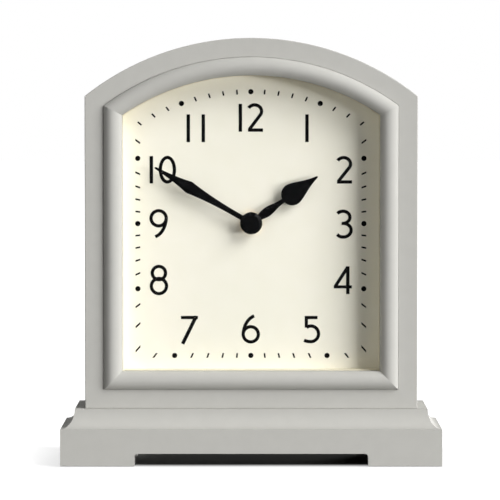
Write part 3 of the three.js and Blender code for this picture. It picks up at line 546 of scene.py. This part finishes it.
# Plinth: four coved rails, mitred, the front and back ones cut away into two feet
railLow, railHigh = nodeBox("plinth_front_rail")
plinthHalfX = nodeBox("plinth_right_rail")[1].x
plinthHalfY = -railLow.y
plinthLook = {"coveWidth": 7.5, "coveHeight": 10.3, "coveSteps": 16, "edge": 0.35,
              "footWidth": 39.7, "cutHeight": 7.1, "cutRadius": 2, "cutSteps": 8, "padRoom": 0.3}
padNodes = [f"felt_pad_{depth}_{side}" for depth in ("front", "back") for side in ("left", "right")]


def railProfile(look):
    deckEdge = plinthHalfX - nodeBox("plinth_deck")[1].x
    deckBottom = nodeBox("plinth_deck")[0].z
    thickness = plinthHalfY + railHigh.y
    bottom, top = railLow.z, railHigh.z
    coveFoot = top - look["coveHeight"]
    points = eased([(0, bottom, look["edge"]), (0, coveFoot, 0), (thickness, bottom, 0)])[:-2]
    for i in range(look["coveSteps"] + 1):
        a = radians(90) * (1 - i / look["coveSteps"])
        points.append((look["coveWidth"] * cos(a), top - look["coveHeight"] * sin(a)))
    return points + [(deckEdge, top), (deckEdge, deckBottom), (thickness, deckBottom), (thickness, bottom)]


def railForm(look, halfLength, halfDistance, turn):
    rows = [[(side * (halfLength - inward), inward - halfDistance, z) for side in (-1, 1)]
            for inward, z in railProfile(look)]
    return moved(skin(rows, False), Matrix.Rotation(radians(turn), 3, "Z"))


def footCut(look, y, depth):
    half = plinthHalfX - look["footWidth"]
    height = look["cutHeight"]
    outline = eased([(-half, -height, 0), (half, -height, 0), (half, height, look["cutRadius"]),
                     (-half, height, look["cutRadius"])], look["cutSteps"])
    return slab(region([outline]), y - depth, y + depth)


def addPlinth(look):
    for name, halfLength, halfDistance, turn in (
            ("front", plinthHalfX, plinthHalfY, 0), ("right", plinthHalfY, plinthHalfX, 90),
            ("back", plinthHalfX, plinthHalfY, 180), ("left", plinthHalfY, plinthHalfX, 270)):
        node = f"plinth_{name}_rail"
        rail = addWood(node, railForm(look, halfLength, halfDistance, turn))
        if name in ("left", "right"):
            continue
        low, high = nodeBox(node)
        cutters = [footCut(look, (low.y + high.y) / 2, high.y - low.y)]
        for pad in padNodes:
            if name in pad:
                padLow, padHigh = nodeBox(pad)
                radius = (padHigh.x - padLow.x) / 2 + look["padRoom"]
                spot = Vector(((padLow.x + padHigh.x) / 2, (padLow.y + padHigh.y) / 2, 0))
                profile = [(0, -cutPast), (radius, -cutPast), (radius, padHigh.z), (0, padHigh.z)]
                cutters.append(moved(lathe(profile), Matrix.Translation(spot)))
        carve(rail, cutters)


addPlinth(plinthLook)
print("plinth built")


# Felt pads let into the feet: soft edges, a slight crown underneath and a fuzzy rim
padLook = {"edge": 0.35, "lift": 0.02, "crown": 0.06, "crownFrom": 0.6, "rings": 5, "steps": 72,
           "fuzz": 0.06, "waves": ((17, 5), (29, -7)), "fill": 0.9}


def addPads(look):
    for node in padNodes:
        low, high = nodeBox(node)
        radius, height, edge = (high.x - low.x) / 2 - look["fuzz"], high.z - low.z, look["edge"]
        profile = [(0, 0)]
        for share in spaced(0, 1, look["rings"])[1:]:
            crown = look["crown"] * max(0, share - look["crownFrom"]) ** 2
            profile.append(((radius - edge) * share, crown))
        profile += eased([(radius, look["lift"], edge), (radius, height, edge), (0, height, 0)])
        smooth, faces = lathe(profile, look["steps"])
        verts = []
        for x, y, z in smooth:
            a = atan2(y, x)
            wobble = sum(sin(a * around + z * up) for around, up in look["waves"])
            swell = 1 + look["fuzz"] / 2 * wobble / radius
            verts.append((x * swell, y * swell, z))
        spot = Matrix.Translation(Vector(((low.x + high.x) / 2, (low.y + high.y) / 2, low.z)))
        pad = addPiece(node + "_pile", moved((verts, faces), spot), feltPile, stands=[node])


addPads(padLook)
print("felt pads built")


# Dial print: numerals and minute marks, measured from the hands' shaft, a hair proud of the enamel
shaftZ = middleOf("hex_nut").z
dialFront = nodeBox("dial_plate")[0].y
inkLook = {"proud": 0.06, "sunk": 0.04, "curve": 1.8, "bar": 1.86, "steps": 40,
           "fit": 0.998, "shift": (-0.18, -0.44)}


def bar(x0, z0, x1, z1, width):
    along = Vector((x1 - x0, z1 - z0)).normalized() * width / 2
    side = Vector((-along.y, along.x))
    return [[(x0 + side.x, z0 + side.y), (x0 - side.x, z0 - side.y),
             (x1 - side.x, z1 - side.y), (x1 + side.x, z1 + side.y)]]


def ribbon(points, width, closed=False):
    count = len(points)
    left, right = [], []
    for i, point in enumerate(points):
        before = points[i - 1] if closed or i > 0 else point
        after = points[(i + 1) % count] if closed or i < count - 1 else point
        along = (after - before).normalized() * width / 2
        side = Vector((-along.y, along.x))
        left.append(tuple(point + side))
        right.append(tuple(point - side))
    spans = count if closed else count - 1
    return [[left[i], right[i], right[(i + 1) % count], left[(i + 1) % count]] for i in range(spans)]


def arc(x, z, radiusX, radiusZ, start, end):
    angles = [radians(a) for a in spaced(start, end, inkLook["steps"])]
    return [Vector((x + radiusX * cos(a), z + radiusZ * sin(a))) for a in angles]


def bend(start, pull, end, steps=16):
    a, b, c = Vector(start), Vector(pull), Vector(end)
    return [a * (1 - t) ** 2 + b * 2 * t * (1 - t) + c * t ** 2 for t in spaced(0, 1, steps)]


def oval(x, z, radiusX, radiusZ):
    return ribbon(arc(x, z, radiusX, radiusZ, 0, 360)[:-1], inkLook["curve"], True)


def upright(x, top, bottom):
    return bar(x, top, x, bottom, inkLook["bar"])


def two(x, z, drop):
    # x, z: middle of the bowl; drop: from there to the foot
    thick, foot = inkLook["curve"], z - drop
    level = foot + thick / 2
    hook = arc(x, z, 3.78, 3.45, 148, -37)
    slopeEnd = Vector((x - 2.72, foot + thick * 0.8))
    return ribbon([*hook, slopeEnd], thick) + bar(x - 3.59, level, x + 4.57, level, thick)


def three():
    thick = inkLook["curve"]
    upper = arc(50, 3.42, 3.83, 3.32, 141, -90)
    lower = arc(50.22, -3.59, 4.27, 3.7, 90, -141)
    return ribbon(upper, thick) + ribbon(lower, thick) + bar(49.3, 0.1, 50.7, 0.1, 1.75)


def four():
    return (upright(52.72, -23.26, -38.37) + bar(52.75, -23.5, 45.75, -34.4, 1.8)
            + bar(45.1, -34.43, 54.9, -34.43, 1.65))


def five():
    bowl = bend((30.3, -56.5), (31.6, -55.74), (32.64, -55.74))[:-1]
    bowl += arc(32.64, -60, 4.2, 4.26, 90, -90)
    bowl += bend((32.64, -64.26), (30.6, -64.26), (28.95, -63.5))[1:]
    return (bar(29.31, -51.14, 36.26, -51.14, 1.78) + bar(30.19, -50.3, 30.19, -56.6, 1.78)
            + ribbon(bowl, inkLook["curve"]))


def bowlAndTail(x, z, side):
    # a six, or upside down a nine
    tail = bend((-4.13, 0.5), (-3.17, 7.87), (1.85, 10.05))
    points = [Vector((x, z)) + point * side for point in tail]
    return oval(x, z, 4.13, 4.13) + ribbon(points, inkLook["curve"])


def seven():
    return bar(-38.02, -51.12, -28.78, -51.12, 1.76) + bar(-29.65, -50.33, -37.12, -65.49, 1.95)


numerals = {
    "one": upright(30.46, 59.29, 44.24), "two": two(50.35, 32.39, 10.65), "three": three(), "four": four(),
    "five": five(), "six": bowlAndTail(-0.03, -60.27, 1), "seven": seven(),
    "eight": oval(-49.97, -26.9, 3.61, 3.61) + oval(-49.97, -33.97, 4.13, 4.13),
    "nine": bowlAndTail(-50.08, 2.88, -1),
    "ten": upright(-54.02, 36.68, 21.85) + oval(-45.3, 29.29, 3.83, 6.66),
    "eleven": upright(-33.94, 59.29, 44.24) + upright(-25.79, 59.29, 44.24),
    "twelve": upright(-5.68, 65, 49.9) + two(2.04, 60.98, 11.09),
}


def addInk(name, outlines):
    fit, (right, up) = inkLook["fit"], inkLook["shift"]
    lifted = [[(x * fit + right, z * fit + up + shaftZ) for x, z in outline] for outline in outlines]
    form = slab(region(lifted), dialFront - inkLook["proud"], dialFront + inkLook["sunk"])
    mergeFlats(addPiece(name, form, dialInk))


for name, outlines in numerals.items():
    addInk("numeral_" + name, outlines)

trackLook = {"half": 61.4, "bottom": 71.8, "archCentre": -42.4, "archRadius": 114, "band": 1.28,
             "tick": 0.86, "dot": 1.42, "level": 1e-6}


def trackHit(look, start, along, outward):
    # how far along a ray from the shaft the track lies, moved outward a little
    reach = []
    if abs(along.x) > look["level"]:
        reach.append((copysign(look["half"] + outward, along.x) - start.x) / along.x)
    if along.y < -look["level"]:
        reach.append((-look["bottom"] - outward - start.y) / along.y)
    gap = start - Vector((0, look["archCentre"]))
    lean = gap.dot(along)
    reach.append(sqrt(lean ** 2 - gap.length_squared + (look["archRadius"] + outward) ** 2) - lean)
    return min(reach)


def addTrack(look):
    ticks, dots = [], []
    for minute in range(60):
        angle = radians(6 * minute)
        along = Vector((sin(angle), cos(angle)))
        if minute % 5 == 0:
            spot = along * trackHit(look, Vector((0, 0)), along, 0)
            dots.append(disc(spot.x, spot.y, look["dot"]))
            continue
        corners = []
        for side, outward in ((-1, -1), (1, -1), (1, 1), (-1, 1)):
            start = Vector((along.y, -along.x)) * side * look["tick"] / 2
            corners.append(tuple(start + along * trackHit(look, start, along, outward * look["band"])))
        ticks.append(corners)
    addInk("minute_ticks", ticks)
    addInk("five_minute_dots", dots)


addTrack(trackLook)
print("dial printed")


# Hands, drawn pointing up and turned to the time; stations along a hand are shares of its length
handLook = {"minutes": 50, "hours": 1, "hub": 4.2, "tip": 0.56, "edge": 0.1, "steps": 16, "boreSteps": 48}
minuteLook = {"length": 60.3, "bore": 1.4, "stem": (1.42, 0.216), "bend": (1.72, 0.464),
              "wide": (3.43, 0.645), "hollow": (1.5, 0.763)}
hourLook = {"length": 44, "bore": 2.45, "root": (1.6, 0.125), "belly": (2.55, 0.245), "neck": (1.22, 0.475),
            "lobe": (5.95, 0.614), "lobeEnd": 20, "crest": (4.85, 0.732), "hollow": (1.75, 0.838)}


def cubic(a, b, c, d, steps):
    a, b, c, d = map(Vector, (a, b, c, d))
    points = []
    for t in spaced(0, 1, steps):
        u = 1 - t
        points.append(a * u ** 3 + b * 3 * t * u ** 2 + c * 3 * t ** 2 * u + d * t ** 3)
    return points


def stations(look, *names):
    return [Vector((look[name][0], look[name][1] * look["length"])) for name in names]


def handTip(look):
    return Vector((handLook["tip"], look["length"] - handLook["tip"]))


def minuteSide(look, steps):
    stem, pull, wide, hollow = stations(look, "stem", "bend", "wide", "hollow")
    narrowing = bend(wide, hollow, handTip(look), steps)
    return [Vector((stem.x, 0))] + bend(stem, pull, wide, steps) + narrowing[1:]


def hourSide(look, steps):
    root, belly, neck = stations(look, "root", "belly", "neck")
    lobe, crest, hollow = stations(look, "lobe", "crest", "hollow")
    radius = lobe.x
    joint = Vector((neck.x, lobe.y - sqrt(radius ** 2 - neck.x ** 2)))
    start = asin(neck.x / radius) - pi / 2
    end = radians(look["lobeEnd"])
    swell = (belly.x, (root.y + belly.y) / 2)
    taper, waist = (belly.x, (belly.y * 2 + neck.y) / 3), (neck.x, (belly.y + neck.y) / 2)
    side = [Vector((root.x, 0))] + bend(root, swell, belly, steps)
    side += cubic(belly, taper, waist, joint, steps)[1:]
    side += [Vector((radius * cos(a), lobe.y + radius * sin(a))) for a in spaced(start, end, steps)[1:]]
    return side + cubic(side[-1], crest, hollow, handTip(look), steps)[1:]


def addHand(node, look, sideOf, turn):
    side = sideOf(look, handLook["steps"])
    blade = [(p.x, p.y) for p in side] + [(0, look["length"])] + [(-p.x, p.y) for p in reversed(side)]
    hub, bore = disc(0, 0, handLook["hub"], fineSteps), disc(0, 0, look["bore"], handLook["boreSteps"])
    verts, faces = region([blade, hub], [bore])
    sine, cosine = sin(radians(turn)), cos(radians(turn))
    placed = [(x * cosine + z * sine, z * cosine - x * sine + shaftZ) for x, z in verts]
    low, high = nodeBox(node)
    form = slab((placed, faces), low.y, high.y)
    hand = addPiece(node + "_black", form, blackHands, node + "_set", [node])
    mergeFlats(hand)
    ease(hand, handLook["edge"], steps=2, angle=60)


minuteTurn = 6 * handLook["minutes"]
hourTurn = 30 * handLook["hours"] + handLook["minutes"] / 2
addHand("minute_hand", minuteLook, minuteSide, minuteTurn)
addHand("hour_hand", hourLook, hourSide, hourTurn)

capLook = {"radius": 6, "bevelWide": 1.5, "bevelDeep": 1.1, "bevelEdge": 0.7, "rimEdge": 0.3,
           "socket": 1.4, "socketDepth": 0.65}


def addCap(look):
    low, high = nodeBox("hand_cap")
    front, back = low.y, high.y
    radius, socket, floor = look["radius"], look["socket"], back - look["socketDepth"]
    profile = [(0, front)] + eased([
        (radius - look["bevelWide"], front, look["bevelEdge"]),
        (radius, front + look["bevelDeep"], look["rimEdge"]), (radius, back, 0),
        (socket, back, 0), (socket, floor, 0), (0, floor, 0), (0, front, 0)])[:-1]
    addPiece("hand_cap_black", turnedAlongY(profile, 0, shaftZ), blackHands,
             "minute_hand_set", ["hand_cap"], sharp=25)


addCap(capLook)
print("hands built")


# Screws with a cross recess; the head's underside is at the surface that it holds
caseScrewLook = {
    "head": 3.8, "rise": 2.4, "rim": 1, "dome": 0.8, "steps": 8, "cross": 2.1, "slot": 0.75, "deep": 1.5,
    "shank": 1.9, "length": 14, "outward": (0, 0, -1),
    "tilts": {"plinth_screw_left": 20, "plinth_screw_right": 52},
}
boardScrewLook = {
    "head": 2.2, "rise": 1.4, "rim": 0.6, "dome": 0.8, "steps": 8, "cross": 1.25, "slot": 0.45, "deep": 0.9,
    "shank": 1.1, "length": 8.4, "outward": (0, 1, 0),
    "tilts": {"back_screw_lower_left": 12, "back_screw_lower_right": 43,
              "back_screw_upper_left": 74, "back_screw_upper_right": 105},
}


def addScrew(node, look, tilt):
    # built with the head up along +Z, then turned so that it points outward
    rise, rim, shank, outward = look["rise"], look["rim"], look["shank"], Vector(look["outward"])
    profile = [(0, rise)]
    for turned in spaced(0, 90, look["steps"])[1:]:
        a = radians(turned)
        profile.append((look["head"] * sin(a) ** look["dome"], rim + (rise - rim) * cos(a)))
    profile += [(look["head"], 0), (shank, 0), (shank, shank - look["length"]), (0, -look["length"])]
    low, high = nodeBox(node)
    reach = ((high - low) / 2).dot(Vector(map(abs, outward)))
    place = (low + high) / 2 + outward * (reach - rise)
    turn = outward.to_track_quat("Z", "Y").to_matrix().to_4x4()
    toPlace = Matrix.Translation(place) @ (turn @ Matrix.Rotation(radians(tilt), 4, "Z"))
    piece = addPiece(node + "_head", moved(lathe(profile), toPlace), zincSteel, stands=[node])
    for x, y in ((look["cross"], look["slot"] / 2), (look["slot"] / 2, look["cross"])):
        recess = block((-x, -y, rise - look["deep"]), (x, y, rise + cutPast))
        carve(piece, [moved(recess, toPlace)])


for look in (caseScrewLook, boardScrewLook):
    for node, tilt in look["tilts"].items():
        addScrew(node, look, tilt)
print("screws built")


# Back panel with an opening for the movement
panelLook = {"edge": 0.4, "margin": 4, "openingRadius": 1.5, "screwHole": 1.25, "holeSteps": 24}


def addBackPanel(look):
    low, high = nodeBox("back_panel")
    holes = [insetBox(*nodeBox("movement_front_shell"), -look["margin"], look["openingRadius"])]
    for node in boardScrewLook["tilts"]:
        place = middleOf(node)
        holes.append(disc(place.x, place.z, look["screwHole"], look["holeSteps"]))
    form = slab(region([archOutline(caseHalf + low.x)], holes), low.y, high.y)
    panel = addWood("back_panel", form)
    mergeFlats(panel)
    ease(panel, look["edge"])


addBackPanel(panelLook)
print("back panel built")


# Movement: moulded shell with the cell's bay
shellLow, shellHigh = nodeBox("movement_front_shell")
coverLow, coverHigh = nodeBox("movement_rear_cover")
knobPlace = middleOf("setting_knob")
cellLow, cellHigh = nodeBox("battery")
shellLook = {"wall": 1.4, "face": 1.5, "corner": 2.2, "bayCorner": 0.6, "edge": 0.35, "bush": 3.5,
             "pivot": 0.65, "pivotDepth": 0.85, "post": 1.2, "raised": 0.15, "sunk": 0.4,
             "markReach": 1.6, "markWidth": 0.9, "markInset": 6,
             "strips": {"positive": 0.5, "negative": 2}, "stripRoom": 0.3, "stripReach": 2.3}
arbors = ["third_wheel", "fourth_wheel", "fifth_wheel", "rotor", "motion_wheel"]


def pivotHoles(names, radius, front, back, steps=16):
    return [rod(spot.x, spot.z, radius, front, back, steps) for spot in map(middleOf, names)]


def postsUnder(node, look, floor):
    # two square posts under the ends of a piece that they carry
    low, high = nodeBox(node)
    x, half = (low.x + high.x) / 2, look["post"]
    return [block((x - half, floor - look["sunk"], z - half), (x + half, low.y, z + half))
            for z in (low.z + half, high.z - half)]


def polarityMarks(look):
    # a plus at the cell's nub and a minus at its base
    z, reach, wide = (cellLow.z + cellHigh.z) / 2, look["markReach"], look["markWidth"]
    left, right = cellLow.x + look["markInset"], cellHigh.x - look["markInset"]
    return (bar(right - reach, z, right + reach, z, wide) + bar(right, z - reach, right, z + reach, wide)
            + bar(left - reach, z, left + reach, z, wide))


def addFrontShell(look):
    front, back = shellLow.y, shellHigh.y
    floor, wall, room = front + look["face"], look["wall"], look["stripRoom"]
    outer = insetBox(shellLow, shellHigh, 0, look["corner"])
    left, right = shellLow.x + wall, shellHigh.x - wall
    bay = roundedBox(left, right, shellLow.z + wall, coverLow.z, look["bayCorner"])
    chamber = roundedBox(left, right, coverLow.z + wall, shellHigh.z - wall, look["bayCorner"])
    form = slab(region([outer], [bay, chamber]), floor, back)
    shell = addPiece("movement_shell_moulded", form, blackPlastic,
                     stands=["movement_front_shell"])
    notches = []
    for pole, wide in look["strips"].items():
        low, high = nodeBox("battery_contact_" + pole)
        notches.append(block((high.x - wide - room, floor - cutPast, coverLow.z - cutPast),
                             (high.x + room, low.y + look["stripReach"], coverLow.z + wall + cutPast)))
    carve(shell, notches)
    mergeFlats(shell)
    ease(shell, look["edge"])
    form = slab(region([outer]), front, floor)
    plate = addPiece("movement_face_moulded", form, blackPlastic)
    marks = slab(region(polarityMarks(look)), floor - look["sunk"], floor + look["raised"])
    posts = postsUnder("coil_core", look, floor) + postsUnder("circuit_board", look, floor)
    carve(plate, [marks, *posts], "UNION")
    holes = [rod(0, shaftZ, look["bush"], front - cutPast, floor + cutPast)]
    pivotEnd = floor - look["pivotDepth"]
    holes += pivotHoles([*arbors, "setting_knob"], look["pivot"], pivotEnd, floor + cutPast)
    carve(plate, holes)
    mergeFlats(plate)


addFrontShell(shellLook)
print("movement shell built")


# Cover over the wheels: raised collar and turning arrows round the knob, a bare label frame and side clips
coverLook = {
    "plate": 1.5, "corner": 2.2, "footCorner": 0.4, "cornerSteps": 6, "edge": 0.22,
    "wall": 1.4, "lipGap": 0.3, "lip": 1.2, "lipCorner": 0.5, "raised": 0.45, "sunk": 0.5,
    "shaft": 1.35, "arbor": 0.95, "pivot": 0.65, "pivotDepth": 0.85, "pivotRoom": 2,
    "collar": (5.2, 6), "collarRise": 0.9,
    "label": (-8.5, 23.5, 124, 152.5), "labelEdge": 0.6, "labelCorner": 1.6,
    "arrow": 7.6, "arrowWidth": 0.9, "arrowHead": 1.3, "arrowTip": 1.7, "sweeps": ((35, 100), (325, 260)),
    "clipHalf": 2.6, "clipOut": 0.75, "clipGap": 0.1, "clipEdge": 0.2, "clipReach": 4, "clips": (128, 149),
    "ejector": 1.3, "ejectorDepth": 0.15, "ejectors": ((-22.5, 151.5), (-12.5, 151.5), (-22.5, 122.3)),
}


def turningArrow(look, start, end):
    x, z, reach = knobPlace.x, knobPlace.z, look["arrow"]
    a = radians(end)
    along = Vector((-sin(a), cos(a))) * (1 if end > start else -1)
    tip = Vector((x + reach * cos(a), z + reach * sin(a)))
    side = Vector((-along.y, along.x)) * look["arrowHead"]
    point = tip + along * look["arrowHead"] * look["arrowTip"]
    head = [tuple(corner) for corner in (tip + side, tip - side, point)]
    return ribbon(arc(x, z, reach, reach, start, end), look["arrowWidth"]) + [head]


def labelFrame(look):
    left, right, bottom, top = look["label"]
    edge, corner = look["labelEdge"], look["labelCorner"]
    outer = roundedBox(left, right, bottom, top, corner)
    inner = roundedBox(left + edge, right - edge, bottom + edge, top - edge, corner - edge)
    return region([outer], [inner])


def clip(look, side, z):
    wall, back = coverHigh.x, coverHigh.y
    inner, gap, out = wall - look["sunk"], wall + look["clipGap"], wall + look["clipOut"]
    face = back - look["plate"]
    front, back, tip = face + look["clipEdge"], back - look["clipEdge"], face - look["clipReach"]
    across = [(inner, front), (inner, back), (out, back), (out, tip), (gap, tip), (gap, front)]
    verts, faces = slab(region([across]), z - look["clipHalf"], z + look["clipHalf"])
    return [(side * x, y, up) for x, up, y in verts], faces


def addRearCover(look):
    back = coverHigh.y
    face, root = back - look["plate"], back - look["sunk"]
    left, right, foot, top = coverLow.x, coverHigh.x, coverLow.z, coverHigh.z
    knobX, knobZ = knobPlace.x, knobPlace.z
    outline = eased([(left, foot, look["footCorner"]), (right, foot, look["footCorner"]),
                     (right, top, look["corner"]), (left, top, look["corner"])], look["cornerSteps"])
    form = slab(region([outline], [disc(knobX, knobZ, look["shaft"])]), face, back)
    cover = addPiece("rear_cover_moulded", form, blackPlastic,
                     stands=["movement_rear_cover"])
    mergeFlats(cover)
    inset = look["wall"] + look["lipGap"]
    lipOuter, lipInner = (insetBox(coverLow, coverHigh, edge, look["lipCorner"])
                          for edge in (inset, inset + look["lip"]))
    bore, rim = (disc(knobX, knobZ, radius, fineSteps) for radius in look["collar"])
    arrows = [mark for sweep in look["sweeps"] for mark in turningArrow(look, *sweep)]
    added = [slab(region([lipOuter], [lipInner]), coverLow.y, face + look["sunk"]),
             slab(region([rim], [bore]), root, back + look["collarRise"]),
             slab(labelFrame(look), root, back + look["raised"]),
             slab(region(arrows), root, back + look["raised"])]
    added += [clip(look, side, z) for side in (-1, 1) for z in look["clips"]]
    carve(cover, added, "UNION")
    pivotStart, pivotEnd = face - look["pivotRoom"], face + look["pivotDepth"]
    holes = pivotHoles(arbors, look["pivot"], pivotStart, pivotEnd)
    holes += pivotHoles(["minute_arbor"], look["arbor"], pivotStart, pivotEnd)
    holes += [rod(x, z, look["ejector"], back - look["ejectorDepth"], back + cutPast)
              for x, z in look["ejectors"]]
    carve(cover, holes)
    mergeFlats(cover)
    ease(cover, look["edge"], steps=2, angle=50)


addRearCover(coverLook)


# Setting knob: a dished crown on the fluted wheel
knobLook = {"rim": 3.9, "dish": 2.7, "slope": 0.3, "rise": 0.5, "sink": 0.25, "edge": 0.2, "root": 0.1}


def addKnobCrown(look):
    end = nodeBox("setting_knob")[1].y
    root, top, dish = end - look["root"], end + look["rise"], end + look["sink"]
    floor, edge = look["dish"] - look["slope"], look["edge"]
    profile = eased([(0, root, 0), (look["rim"], root, 0), (look["rim"], top, edge),
                     (look["dish"], top, edge), (floor, dish, edge), (0, dish, 0)])
    addPiece("setting_knob_crown", turnedAlongY(profile, knobPlace.x, knobPlace.z), blackPlastic,
             "setting_knob_set")


addKnobCrown(knobLook)
print("rear cover and knob built")


# AA cell: shrunk jacket over rolled ends, a paler band by the nub and bare steel ends
# corners: radius, place along the cell counted from one of its ends, and how far it is rounded
cellLook = {
    "steps": 72, "baseProud": 0.35, "shoulder": 1.3,
    "band": (14.5, 20.5), "bandProud": 0.03, "bandSunk": 0.2,
    "jacketFoot": ((0, 0.2, 0), (5.3, 0.2, 0), (6.5, 0, 0.3)), "footEdge": (0.25, 0.6),
    "jacketTop": ((6.5, -0.1, 0.3), (5, -0.3, 0), (0, -0.3, 0)), "topEdge": (-0.3, 0.6),
    "baseEnd": ((0, 0, 0), (4.8, 0, 0.25)), "baseRoot": ((5.1, 0.5, 0), (0, 0.5, 0)),
    "nubRoot": ((0, -0.6, 0), (4.9, -0.6, 0), (4.9, 0, 0.25), (2.75, 0.1, 0.2)),
    "nubEnd": ((2.75, 0, 0.4), (0, 0, 0)),
}


def fromEnd(end, corners):
    return [(radius, end + along, rounding) for radius, along, rounding in corners]


def addCellPart(name, profile, material, stands=()):
    spot = Matrix.Translation((cellLow + cellHigh) / 2) @ Matrix.Rotation(radians(90), 4, "Y")
    addPiece(name, moved(lathe(profile, cellLook["steps"]), spot), material, "cell", stands)


def addCell(look):
    radius, half = (cellHigh.z - cellLow.z) / 2, (cellHigh.x - cellLow.x) / 2
    left, right = -half + look["baseProud"], half - look["shoulder"]
    jacket = (fromEnd(left, [*look["jacketFoot"], (radius, *look["footEdge"])])
              + fromEnd(right, [(radius, *look["topEdge"]), *look["jacketTop"]]))
    addCellPart("battery_jacket", eased(jacket), cellJacket, ["battery"])
    start, end = look["band"]
    proud, sunk = radius + look["bandProud"], radius - look["bandSunk"]
    band = [(sunk, start), (proud, start), (proud, end), (sunk, end)]
    addCellPart("battery_band", band, cellBand)
    base = fromEnd(-half, look["baseEnd"]) + fromEnd(left, look["baseRoot"])
    addCellPart("battery_base", eased(base), zincSteel)
    nub = fromEnd(right, look["nubRoot"]) + fromEnd(half, look["nubEnd"])
    addCellPart("battery_nub", eased(nub), zincSteel)


addCell(cellLook)
print("cell built")


for piece in lookPieces:  # wide flats keep a level shade beside their rounded edges
    piece.modifiers.new("levelShade", "WEIGHTED_NORMAL").keep_sharp = True


# Plain finishes for the solids that keep their own shape
def named(part):
    return [name for name in nodes if part in name]


solidFinishes = [
    (bareBoard, ["plinth_deck", "dial_board"]),
    (bareBatten, named("back_batten")),
    (paintedWood, ["case_floor"]),
    (clearGlass, ["glass_pane"]),
    (spacerCard, ["dial_spacer"]),
    (dialEnamel, ["dial_plate"]),
    (zincSteel, named("dial_screw")),
    (turnedBrass, ["threaded_bush", "brass_washer", "hex_nut", "minute_arbor", *named("battery_contact")]),
    (blackRubber, ["rubber_washer"]),
    (whitePlastic, named("_wheel")),
    (bondedMagnet, ["rotor"]),
    (softIron, ["stator", "coil_core"]),
    (copperWire, ["coil"]),
    (circuitLaminate, ["circuit_board"]),
    (blackPlastic, ["setting_knob"]),
]
for material, names in solidFinishes:
    for name in names:
        nodes[name].data.materials.clear()
        nodes[name].data.materials.append(material)
print("solids finished")


# Light: a tall soft lamp on the right, in two parts, a weak one on the left and one behind
lampLook = {
    "upperRight": {"side": 55, "height": 36, "distance": 12000, "wide": 6600, "tall": 7600, "power": 1570},
    "lowerRight": {"side": 55, "height": -0.3, "distance": 6000, "wide": 3300, "tall": 160, "power": 200},
    "left": {"side": -45, "height": 25, "distance": 6000, "wide": 3000, "tall": 3000, "power": 36},
    "rear": {"side": 150, "height": 5, "distance": 6000, "wide": 3000, "tall": 900, "power": 170},
}
lampAim = Vector((0, 0, 120))
skyLook = {"horizon": 0.02, "zenith": 0.12}


def addLamp(name, look):
    # side: degrees round from straight ahead, to the right; height: degrees up
    side, height = radians(look["side"]), radians(look["height"])
    toward = Vector((sin(side) * cos(height), -cos(side) * cos(height), sin(height)))
    lamp = bpy.data.objects.new(name, bpy.data.lights.new(name, "AREA"))
    scene.collection.objects.link(lamp)
    lamp.data.shape = "RECTANGLE"
    lamp.data.size = look["wide"] * mm
    lamp.data.size_y = look["tall"] * mm
    lamp.data.energy = look["power"]
    lamp.location = (lampAim + toward * look["distance"]) * mm
    lamp.rotation_euler = toward.to_track_quat("Z", "Y").to_euler()
    lamp.visible_camera = False


backdropRays = ("Camera", "Glossy", "Transmission")  # they show the backdrop, in metal and glass too
white = (1, 1, 1, 1)


def addSky(look):
    scene.world = bpy.data.worlds.new("studio")
    scene.world.use_nodes = True
    tree = scene.world.node_tree
    coords = shaderNode(tree, "TexCoord", {}).outputs["Generated"]
    up = shaderNode(tree, "SeparateXYZ", {0: coords}).outputs["Z"]
    glow = shaderNode(tree, "MapRange", {"Value": up, "To Min": look["horizon"], "To Max": look["zenith"]})
    sky = plug(tree, tree.nodes["Background"], {"Color": white, "Strength": glow.outputs["Result"]})
    backdrop = shaderNode(tree, "Background", {"Color": white})
    seen = anyRay(tree, *backdropRays)
    mix = shaderNode(tree, "MixShader", {"Fac": seen, 1: sky.outputs[0], 2: backdrop.outputs[0]})
    tree.links.new(mix.outputs[0], tree.nodes["World Output"].inputs["Surface"])


# The floor's glow for backdrop rays is a painted shadow round the plinth: none from under millimetres
# inside its footprint, shadowEdgeGlow at the footprint's edge, full white from clear millimetres outside it
floorLook = {"half": 8000, "under": -14, "clear": 24, "behind": 20, "pale": 0.3, "shadowEdgeGlow": 0.74}


def floorFinish(look):
    material, tree, shader = startFinish("paleFloor")
    under, clear, behind = look["under"] * mm, look["clear"] * mm, look["behind"] / 2 * mm
    coords = shaderNode(tree, "TexCoord", {}).outputs["Object"]
    shifted = shaderNode(tree, "Mapping", {"Vector": coords, "Location": (0, -behind, 0)})
    parts = shaderNode(tree, "SeparateXYZ", {0: shifted.outputs["Vector"]})
    away = []  # distance from the plinth's footprint, below zero under it
    for axis, half in (("X", plinthHalfX * mm), ("Y", plinthHalfY * mm + behind)):
        size = mathNode(tree, "ABSOLUTE", parts.outputs[axis])
        away.append(mathNode(tree, "SUBTRACT", size, half))
    furthest = mathNode(tree, "MAXIMUM", *away)
    fit = shaderNode(tree, "MapRange", {"Value": furthest, "From Min": under, "From Max": clear})
    # painted shade: the glow grows from none under the plinth to full white away from it, so the floor is
    # darker round the plinth
    ramp = shaderNode(tree, "ValToRGB", {"Fac": fit.outputs["Result"]})
    rim = ramp.color_ramp.elements.new(-under / (clear - under))
    rim.color = (look["shadowEdgeGlow"], look["shadowEdgeGlow"], look["shadowEdgeGlow"], 1)
    plug(tree, shader, {
        "Base Color": (look["pale"], look["pale"], look["pale"], 1),
        "Roughness": 1, "Specular IOR Level": 0,
        "Emission Color": ramp.outputs["Color"], "Emission Strength": anyRay(tree, *backdropRays),
    })
    return material


def addFloor(look):
    half = look["half"]
    corners = [(-half, -half, 0), (half, -half, 0), (half, half, 0), (-half, half, 0)]
    mesh = meshFrom("floor", corners, [(0, 1, 2, 3)])
    floor = bpy.data.objects.new("floor", mesh)
    scene.collection.objects.link(floor)
    mesh.materials.append(floorFinish(look))


for name, look in lampLook.items():
    addLamp(name, look)
addSky(skyLook)
addFloor(floorLook)
print("light and floor set")
